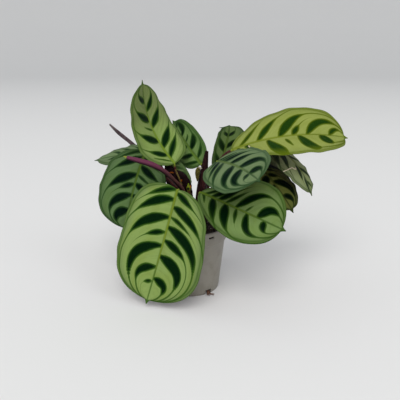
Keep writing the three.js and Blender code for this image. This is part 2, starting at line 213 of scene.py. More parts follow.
class Finish:
    """The shader nodes of one material, or of a finish that several materials share. Each call
    adds a node and gives its output; its operands are numbers, colours or other outputs."""

    def __init__(self, tree):
        self.tree = tree
        self.shader = tree.nodes.get("Principled BSDF")

    def node(self, kind, **settings):
        made = self.tree.nodes.new("ShaderNode" + kind)
        for name, value in settings.items():
            setattr(made, name, value)
        return made

    def feed(self, socket, value):
        if isinstance(value, bpy.types.NodeSocket):
            self.tree.links.new(value, socket)
        else:
            socket.default_value = value

    def maths(self, kind, *operands):
        made = self.node("Math", operation=kind)
        for socket, value in zip(made.inputs, operands):
            self.feed(socket, value)
        return made.outputs[0]

    def plus(self, first, second):
        return self.maths("ADD", first, second)

    def less(self, first, second):
        return self.maths("SUBTRACT", first, second)

    def times(self, first, second):
        return self.maths("MULTIPLY", first, second)

    def times_plus(self, first, second, third):
        return self.maths("MULTIPLY_ADD", first, second, third)

    def step_up(self, value, low, high):
        """0 below low, 1 above high, smooth between."""
        made = self.node("MapRange", interpolation_type="SMOOTHSTEP")
        made.inputs["From Min"].default_value = low
        made.inputs["From Max"].default_value = high
        self.feed(made.inputs["Value"], value)
        return made.outputs["Result"]

    def step_down(self, value, low, high):
        """1 below low, 0 above high, smooth between."""
        return self.less(1.0, self.step_up(value, low, high))

    def blend(self, share, first, second):
        """The first colour where share is 0, the second where it is 1."""
        made = self.node("Mix", data_type="RGBA")
        for number, value in ((0, share), (6, first), (7, second)):
            self.feed(made.inputs[number], value)
        return made.outputs[2]

    def cloud(self, place, scale, detail=3.0, rough=0.5, stretch=None):
        """Noise with a number of lumps per unit of place, stretched per axis if wanted."""
        if stretch:
            mapping = self.node("Mapping")
            mapping.inputs["Scale"].default_value = stretch
            self.feed(mapping.inputs["Vector"], place)
            place = mapping.outputs["Vector"]
        made = self.node("TexNoise")
        for label, value in (("Scale", scale), ("Detail", detail), ("Roughness", rough), ("Vector", place)):
            self.feed(made.inputs[label], value)
        return made.outputs["Fac"]

    def object_place(self):
        return self.node("TexCoord").outputs["Object"]

    def flat_place(self, layer):
        """The place on a piece's own UV map."""
        return self.node("UVMap", uv_map=layer).outputs["UV"]

    def axis(self, place, letter):
        made = self.node("SeparateXYZ")
        self.feed(made.inputs[0], place)
        return made.outputs[letter]

    def kept(self, name):
        """A value kept on the mesh's points."""
        return self.node("Attribute", attribute_name=name).outputs["Fac"]

    def wear(self, colour, roughness, height, depth):
        """Joins colour, roughness and relief to the shader, the relief's depth in metres."""
        relief = self.node("Bump")
        relief.inputs["Distance"].default_value = depth
        self.feed(relief.inputs["Height"], height)
        self.feed(self.shader.inputs["Base Color"], colour)
        self.feed(self.shader.inputs["Roughness"], roughness)
        self.feed(self.shader.inputs["Normal"], relief.outputs["Normal"])

    def wear_shared(self, group, depth, **values):
        """Wears a shared finish with this material's own values."""
        skin = self.node("Group", node_tree=group)
        for label, value in values.items():
            skin.inputs[label.replace("_", " ")].default_value = value
        self.wear(skin.outputs["Color"], skin.outputs["Roughness"], skin.outputs["Height"], depth)

    def lay_over(self, share, colour):
        """Lays a colour over the base colour, as far as share says."""
        base = self.shader.inputs["Base Color"]
        self.feed(base, self.blend(share, base.links[0].from_socket, colour))


def new_finish(name):
    """A new material, and the finish that builds up its nodes."""
    material = bpy.data.materials.new(name)
    material.use_nodes = True
    return material, Finish(material.node_tree)


def shared_finish(name, **takes):
    """A shader group that takes colours and numbers and gives Color, Roughness and Height."""
    group = bpy.data.node_groups.new(name, "ShaderNodeTree")
    for label, value in takes.items():
        kind = "NodeSocketColor" if isinstance(value, tuple) else "NodeSocketFloat"
        socket = group.interface.new_socket(name=label.replace("_", " "), in_out="INPUT", socket_type=kind)
        socket.default_value = value
    group.interface.new_socket(name="Color", in_out="OUTPUT", socket_type="NodeSocketColor")
    group.interface.new_socket(name="Roughness", in_out="OUTPUT", socket_type="NodeSocketFloat")
    group.interface.new_socket(name="Height", in_out="OUTPUT", socket_type="NodeSocketFloat")
    given = group.nodes.new("NodeGroupInput").outputs
    out = group.nodes.new("NodeGroupOutput").inputs
    return group, Finish(group), given, out


# shared finish: dust and soil marks over a clean surface, thicker in the hollows of the noise
smudge, skin, given, out = shared_finish(
    "smudge", Clean=(1, 1, 1, 1), Dirt=(0, 0, 0, 1), Amount=0.3, Scale=120.0, Gloss=0.4)
place = skin.object_place()
broad = skin.cloud(place, given["Scale"], 5.0, 0.62)
fine = skin.cloud(place, 2600.0, 2.0)
patch = skin.times(skin.step_up(broad, 0.46, 0.78), given["Amount"])
skin.feed(out["Color"], skin.blend(patch, given["Clean"], given["Dirt"]))
skin.feed(out["Roughness"], skin.plus(given["Gloss"], skin.times(broad, 0.18)))
skin.feed(out["Height"], skin.plus(skin.times(fine, 0.35), broad))


def set_piece(mesh, node_name, slot, *materials):
    """Sets a piece in the scene in place of its solid, under its mesh's name."""
    for material in materials:
        mesh.materials.append(material)
    piece = new_object(mesh.name, mesh)
    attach(piece, "root")
    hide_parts(node_name)


# the white plastic has a mid-grey base colour: painted shade, for the pot's shade under the leaves; the
# darker patches are dust and soil
pot_plastic, skin = new_finish("pot_plastic")
skin.wear_shared(smudge, 0.00004, Clean=srgb(134, 130, 120), Dirt=srgb(92, 84, 70), Amount=0.35,
                 Scale=95.0, Gloss=0.34)
# soil dust clings to the foot in specks
foot = skin.step_down(skin.axis(skin.object_place(), "Z"), 0.0, 0.009)
speckle = skin.step_up(skin.cloud(skin.object_place(), 900.0, 4.0, 0.7), 0.5, 0.72)
skin.lay_over(skin.times(skin.times(foot, speckle), 0.55), srgb(96, 80, 62))
skin.shader.inputs["Subsurface Weight"].default_value = 0.08
skin.shader.inputs["Subsurface Radius"].default_value = (0.0012, 0.0012, 0.0011)
set_piece(pot_mesh, "pot", "pot_plastic", pot_plastic)


# Soil
# Dark crumbly peat pressed into the pot by hand, a little higher in the middle, with loose
# crumbs, slivers of bark and some grains of white perlite lying on it.
SOIL_TOP = 45.0
SOIL_CROWN = 0.6
SOIL_RADIUS = 25.5
SOIL_FOOT, SOIL_FOOT_RADIUS = 1.6, 20.2
LUMP_HEIGHT, CRUMB_HEIGHT = 0.9, 0.45
EDGE_DROP, EDGE_WIDTH = 0.9, 3
SOIL_SEED = 11


def soil_height(x, y):
    """Height of the soil's skin in millimetres at x, y in millimetres."""
    r = math.hypot(x, y)
    lumps = noise.fractal(Vector((x, y, 3.0)) * 0.16, 1.0, 2.0, 3) * LUMP_HEIGHT
    crumb = noise.fractal(Vector((x, y, 9.0)) * 0.75, 0.9, 2.1, 3) * CRUMB_HEIGHT
    edge = -EDGE_DROP * max(0.0, (r - SOIL_RADIUS + EDGE_WIDTH) / EDGE_WIDTH) ** 2
    return SOIL_TOP + SOIL_CROWN * (1 - (r / SOIL_RADIUS) ** 2) + lumps + crumb + edge


def sheet(columns, rows, size, uv_layer=None):
    """A flat sheet with two skins and a closed rim, to be shaped; its under skin lies at z = -1."""
    bm = bmesh.new()
    if uv_layer:
        bm.loops.layers.uv.new(uv_layer)
    bmesh.ops.create_grid(bm, x_segments=columns, y_segments=rows, size=size, calc_uvs=bool(uv_layer))
    grown = bmesh.ops.extrude_face_region(bm, geom=list(bm.faces), use_keep_orig=True)
    for vert in grown["geom"]:
        if isinstance(vert, bmesh.types.BMVert):
            vert.co.z = -1
    bmesh.ops.recalc_face_normals(bm, faces=bm.faces)
    return bm


bm = sheet(columns=120, rows=120, size=1.0)
for vert in bm.verts:
    x, y = vert.co.x, vert.co.y
    # square to disc, so that the grid's border becomes the round edge
    disc = Vector((x * math.sqrt(1 - y * y / 2), y * math.sqrt(1 - x * x / 2), 0))
    if vert.co.z < -0.5:
        vert.co = (disc * SOIL_FOOT_RADIUS + Vector((0, 0, SOIL_FOOT))) * MM
    else:
        disc = disc * SOIL_RADIUS
        vert.co = (disc + Vector((0, 0, soil_height(disc.x, disc.y)))) * MM
bmesh.ops.recalc_face_normals(bm, faces=bm.faces)
soil_mesh = finished_mesh(bm, "soil_body")

peat, skin = new_finish("peat")
place = skin.object_place()
coarse = skin.cloud(place, 420.0, 4.0, 0.65)
grainy = skin.cloud(place, 2100.0, 3.0, 0.7)
brown = skin.blend(skin.step_up(coarse, 0.35, 0.68), srgb(30, 21, 16), srgb(62, 45, 33))
brown = skin.blend(skin.step_up(grainy, 0.55, 0.75), brown, srgb(92, 70, 50))
skin.wear(brown, skin.times_plus(grainy, -0.2, 1.0), skin.plus(coarse, skin.times(grainy, 0.5)), 0.0006)
set_piece(soil_mesh, "soil", "soil", peat)

bark_sliver, skin = new_finish("bark_sliver")
streak = skin.cloud(skin.object_place(), 700.0, 4.0, 0.6, stretch=(1, 4, 1))
brown = skin.blend(skin.step_up(streak, 0.4, 0.65), srgb(66, 42, 27), srgb(124, 90, 60))
skin.wear(brown, skin.times_plus(streak, 0.2, 0.7), streak, 0.0003)

perlite_grain, skin = new_finish("perlite_grain")
pits = skin.cloud(skin.object_place(), 2400.0, 3.0, 0.6)
white = skin.blend(skin.step_up(pits, 0.35, 0.6), srgb(176, 168, 152), srgb(232, 229, 220))
skin.wear(white, skin.times_plus(pits, 0.2, 0.75), pits, 0.0004)


def scatter(name, material, seed, count, sizes, flat, spread, roundness):
    """Loose grains lying on the soil: small lumps, each squashed, turned and roughened."""
    dice = random.Random(seed)
    bm = bmesh.new()
    for _ in range(count):
        r = spread * math.sqrt(dice.random())
        a = dice.uniform(0, 2 * math.pi)
        x, y = r * math.cos(a), r * math.sin(a)
        size = dice.uniform(*sizes)
        grain = bmesh.ops.create_icosphere(bm, subdivisions=1, radius=size * MM)["verts"]
        stretch = Vector((dice.uniform(0.7, 1.5), dice.uniform(0.7, 1.1), flat * dice.uniform(0.8, 1.2)))
        turn = Matrix.Rotation(dice.uniform(0, 6.28), 3, "Z")
        turn = turn @ Matrix.Rotation(dice.uniform(-0.7, 0.7), 3, "X")
        # each grain is sunk into the soil by a third of its height
        lift = soil_height(x, y) + size * flat * 0.35
        for vert in grain:
            wobble = 1 + roundness * noise.noise(vert.co * 1800 + Vector((x, y, size)) * 3)
            vert.co = turn @ (vert.co * stretch * wobble) + Vector((x, y, lift)) * MM
    set_piece(finished_mesh(bm, name, smooth=False), "soil", "soil", material)


scatter("soil_crumbs", peat, SOIL_SEED, count=620, sizes=(0.35, 1.0), flat=0.75, spread=24.6, roundness=0.6)
scatter("soil_bark", bark_sliver, SOIL_SEED + 1, count=46, sizes=(0.5, 1.1), flat=0.3, spread=23.5,
        roundness=0.5)
scatter("soil_perlite", perlite_grain, SOIL_SEED + 2, count=30, sizes=(0.35, 0.8), flat=0.85, spread=23.5,
        roundness=0.45)


# Roots
# Two brown root tips that have grown out through one drain slot and lie along the ground,
# thin at the end, with a few side roots as fine as hairs.
ROOT_LONG = [(21, 0.4, 2, 0.6), (22.6, 0.6, 1.7, 0.6), (24, 0.2, 1, 0.6), (25.4, 1.2, 0.8, 0.5),
             (26, 2.6, 0.6, 0.35)]
ROOT_SHORT = [(21, 0.4, 2, 0.6), (22.4, -0.8, 1.8, 0.7), (23.8, -1.6, 1, 0.7), (24.6, -2.4, 0.9, 0.4)]
ROOT_HAIRS = [
    [(24.2, 0.4, 1.0, 0.22), (24.9, -0.6, 0.7, 0.18), (25.8, -1.0, 0.35, 0.1)],
    [(25.3, 1.1, 0.9, 0.2), (26.3, 1.3, 0.6, 0.16), (27.2, 0.9, 0.3, 0.08)],
    [(23.6, -1.5, 1.1, 0.25), (24.9, -1.5, 0.7, 0.18), (25.9, -2.2, 0.3, 0.1)],
]


def smooth_line(points, share):
    """The place and radius at a share of a smooth line through points (x, y, z, radius)."""
    span = min(max(share, 0.0), 0.999999) * (len(points) - 1)
    k = int(span)
    w = span - k
    place = [Vector(p[:3]) for p in points]
    p1, p2 = place[k], place[k + 1]
    p0 = place[k - 1] if k > 0 else 2 * p1 - p2
    p3 = place[k + 2] if k + 2 < len(place) else 2 * p2 - p1
    d0, d1, d2 = (max((b - a).length, 1e-6) ** 0.5 for a, b in ((p0, p1), (p1, p2), (p2, p3)))
    t1 = ((p1 - p0) / d0 - (p2 - p0) / (d0 + d1) + (p2 - p1) / d1) * d1
    t2 = ((p2 - p1) / d1 - (p3 - p1) / (d1 + d2) + (p3 - p2) / d2) * d1
    point = p1 + t1 * w + (3 * (p2 - p1) - 2 * t1 - t2) * w * w + (2 * (p1 - p2) + t1 + t2) * w ** 3
    return point, points[k][3] + (points[k + 1][3] - points[k][3]) * w


def line_axes(points, rings):
    """Places, radii, two side directions and the direction ahead at even steps along a line."""
    rows = []
    side = Vector((1, 0, 0))
    nearby = 0.004
    for i in range(rings + 1):
        share = i / rings
        here, radius = smooth_line(points, share)
        before = smooth_line(points, max(0.0, share - nearby))[0]
        after = smooth_line(points, min(1.0, share + nearby))[0]
        along = (after - before).normalized()
        side = (side - side.dot(along) * along).normalized()
        rows.append((here, radius, side.copy(), along.cross(side), along))
    return rows


def rod_mesh(name, points, sides, rings, swell=None):
    """A round stem along a line in millimetres: a grid rolled up, its seam merged, its ends closed.
    swell(turn, share, radius) gives the radius at a turn 0 to 1 around it."""
    bm = bmesh.new()
    bm.loops.layers.uv.new("along")
    last = rings + 2
    bmesh.ops.create_grid(bm, x_segments=sides, y_segments=last, size=0.5, calc_uvs=True)
    rows = line_axes(points, rings)
    for vert in bm.verts:
        turn = vert.co.x + 0.5
        row = round((vert.co.y + 0.5) * last)
        ring = min(max(row - 1, 0), rings)
        here, radius, side, other, along = rows[ring]
        if row in (0, last):
            vert.co = (here + along * (radius * 0.35 * (1 if ring else -1))) * MM
        else:
            r = swell(turn, ring / rings, radius) if swell else radius
            angle = 2 * math.pi * turn
            vert.co = (here + side * (r * math.cos(angle)) + other * (r * math.sin(angle))) * MM
    bmesh.ops.remove_doubles(bm, verts=bm.verts, dist=1e-7)
    bmesh.ops.recalc_face_normals(bm, faces=bm.faces)
    return finished_mesh(bm, name)


def joined(name, meshes):
    """One mesh from several that touch or cross one another."""
    bm = bmesh.new()
    for mesh in meshes:
        bm.from_mesh(mesh)
        bpy.data.meshes.remove(mesh)
    return finished_mesh(bm, name)


def from_slot(points):
    """Turns (distance from the pot's axis, sideways, height, radius) into x, y, z, radius."""
    c, s = math.cos(math.radians(DRAIN_AZIMUTH)), math.sin(math.radians(DRAIN_AZIMUTH))
    return [(out * c - side * s, out * s + side * c, z, r) for out, side, z, r in points]


def knotty(turn, share, radius):
    """A root, thicker at its knots."""
    return radius * (1 + 0.14 * math.sin(share * 31) * math.sin(share * 13 + 1))


root_skin, skin = new_finish("root_skin")
skin.wear_shared(smudge, 0.00015, Clean=srgb(96, 62, 42), Dirt=srgb(48, 30, 21), Amount=0.9, Scale=520.0,
                 Gloss=0.6)
roots = [rod_mesh("root", from_slot(line), sides=14, rings=36, swell=knotty)
         for line in (ROOT_LONG, ROOT_SHORT)]
roots += [rod_mesh("root_hair", from_slot(line), sides=8, rings=14) for line in ROOT_HAIRS]
set_piece(joined("root_tips_brown", roots), "root_tips", "root", root_skin)


# Shoots
# Each shoot is a false stem: the stalks' feet are flat sheaths that clasp one another like a
# rolled sheet of paper. They are dark maroon and finely furrowed, and each edge is a low step.
SHEATH_LEFT = [(-1, 2, 31, 4), (-1, 2.5, 50, 4.2), (-2, 4, 68, 4), (-5, 7, 80, 3.2), (-8, 9, 88, 2.2)]
SHEATH_RIGHT = [(8, 2, 31, 4), (8, 2, 50, 4.2), (8, 2, 68, 3.9), (10, 2.5, 86, 3.2), (12.5, 3.5, 104, 1.2)]
SHEATH_FURROWS = 22
STRIP_THICKNESS = 0.28

# shared finish: a furrowed plant skin, two tones running in streaks along the stem's own UV map,
# which may flush with a third tone towards the tip
furrows, skin, given, out = shared_finish(
    "furrows", Dark=(0.1, 0.02, 0.03, 1), Light=(0.3, 0.1, 0.15, 1), Flush=(0.2, 0.3, 0.05, 1), Lines=16.0,
    Tip_Flush=0.0, Flush_Start=0.86, Flush_Length=0.11, Gloss=0.4)
place = skin.flat_place("along")
streak = skin.cloud(place, 9.0, 4.0, 0.6, stretch=(5.0, 0.7, 1.0))
mottle = skin.cloud(skin.object_place(), 650.0, 4.0, 0.6)
wave = skin.maths("SINE", skin.times(skin.axis(place, "X"), skin.times(given["Lines"], 2 * math.pi)))
tone = skin.plus(skin.times(streak, 0.75), skin.times(mottle, 0.45))
tone = skin.blend(skin.step_up(tone, 0.42, 0.78), given["Dark"], given["Light"])
flush = skin.maths("DIVIDE", skin.less(skin.axis(place, "Y"), given["Flush Start"]), given["Flush Length"])
flush = skin.times(skin.step_up(flush, 0.0, 1.0), given["Tip Flush"])
skin.feed(out["Color"], skin.blend(flush, tone, given["Flush"]))
skin.feed(out["Roughness"], skin.plus(given["Gloss"], skin.times(mottle, 0.2)))
skin.feed(out["Height"], skin.plus(skin.times(wave, 0.4), streak))


def stem_material(name, dark, light, flush=(0.2, 0.3, 0.05, 1.0), lines=16.0, tip=0.0, start=0.86,
                  length=0.11, gloss=0.36, relief=0.00012):
    """A furrowed skin with a number of lines round the stem. Towards the tip it may flush with a
    third tone: as far as tip says, from start on and over length, all as shares."""
    material, skin = new_finish(name)
    skin.wear_shared(furrows, relief, Dark=dark, Light=light, Flush=flush, Lines=lines, Tip_Flush=tip,
                     Flush_Start=start, Flush_Length=length, Gloss=gloss)
    skin.shader.inputs["Specular IOR Level"].default_value = 0.08
    return material


sheath_skin = stem_material("sheath_skin", srgb(13, 4, 4), srgb(52, 26, 27), lines=22.0, relief=0.00018)
# the wings' near-black is maroon deepened with painted shade, the crown's shade under the leaves
wing_skin = stem_material("wing_skin", srgb(7, 1, 2), srgb(27, 6, 8), lines=18.0, relief=0.00014)


def clasping(seam, step):
    """Cross-section of wrapped sheaths: two lips that wind slowly round the shoot and fade towards
    its top, and fine furrows."""
    def swell(turn, share, radius):
        around = (turn + seam + 0.35 * share) % 1.0
        lip = step * (around - 0.5) * min(1.0, (1 - share) * 4)
        second = 0.5 * step * (((around * 2 + 0.3) % 1.0) - 0.5) * min(1.0, (1 - share) * 3)
        return radius * (1 + lip + second + 0.012 * math.cos(2 * math.pi * SHEATH_FURROWS * turn))
    return swell


def flattened(turn, share, radius):
    """A strip less than a third as thick as wide, with a ragged outline."""
    a = 2 * math.pi * turn
    ragged = 1 + 0.05 * math.sin(share * 37) * math.sin(share * 11)
    return radius * ragged / math.sqrt(math.cos(a) ** 2 + (math.sin(a) / STRIP_THICKNESS) ** 2)


# the two outer sheaths of the left shoot stand off from it as dark pointed wings, their dark maroon deepened
# to near-black with painted shade
WING_RIGHT = [(-2, -0.5, 60, 4.2), (-2.6, -1.5, 70, 4.9), (-3.6, -2, 77, 5.4), (-5, -2.3, 82.5, 5.2),
              (-7.5, -2.5, 87.5, 3.8), (-10.5, -2.5, 91, 1.0)]
WING_LEFT = [(-3.5, 0, 60, 4.2), (-6.5, -1, 70, 5.0), (-9.5, -1.5, 78, 5.6), (-12.5, -1.5, 85, 5.6),
             (-15, -1.5, 91, 4.2), (-17, -1.5, 95, 1.0)]
for name, node_name, line, section, material in (
    ("sheath_left", "stalks_left", SHEATH_LEFT, clasping(seam=0.2, step=0.16), sheath_skin),
    ("sheath_right", "stalks_right", SHEATH_RIGHT, clasping(seam=0.62, step=0.16), sheath_skin),
    ("sheath_wing_right", "stalks_left", WING_RIGHT, flattened, wing_skin),
    ("sheath_wing_left", "stalks_left", WING_LEFT, flattened, wing_skin),
):
    set_piece(rod_mesh(name, line, sides=96, rings=90, swell=section), node_name, "stalk", material)


# Leaf blades
# Twelve thin oval blades, folded a little along the midrib and curling over at the margins.
# The upper face is satin green with dark glossy blotches lying along the side veins, large
# and small by turns, each drawn out in a fine line to the margin; below they are maroon.
BLADE_GRID = 0.55
BLADE_HALF_THICKNESS = 0.26
MIDRIB_DEPTH = 1.0
MIDRIB_HALF = 1.15
STALK_END_HALF = 1.2
DRIP_TIP = 3.0
CREASE = 1.5
LOBE_REACH = 7
QUILT_DEPTH, QUILT_PITCH = 0.13, 4.2
GROOVE_DEPTH, GROOVE_HALF = 0.24, 0.8
MARGIN_WAVE = 0.38
MARGIN_THICKNESS, MARGIN_WIDTH = 0.45, 2.5
VEINLET_PITCH = 1.1
DRAWN_FROM, DRAWN_LENGTH = 2.2, 0.34
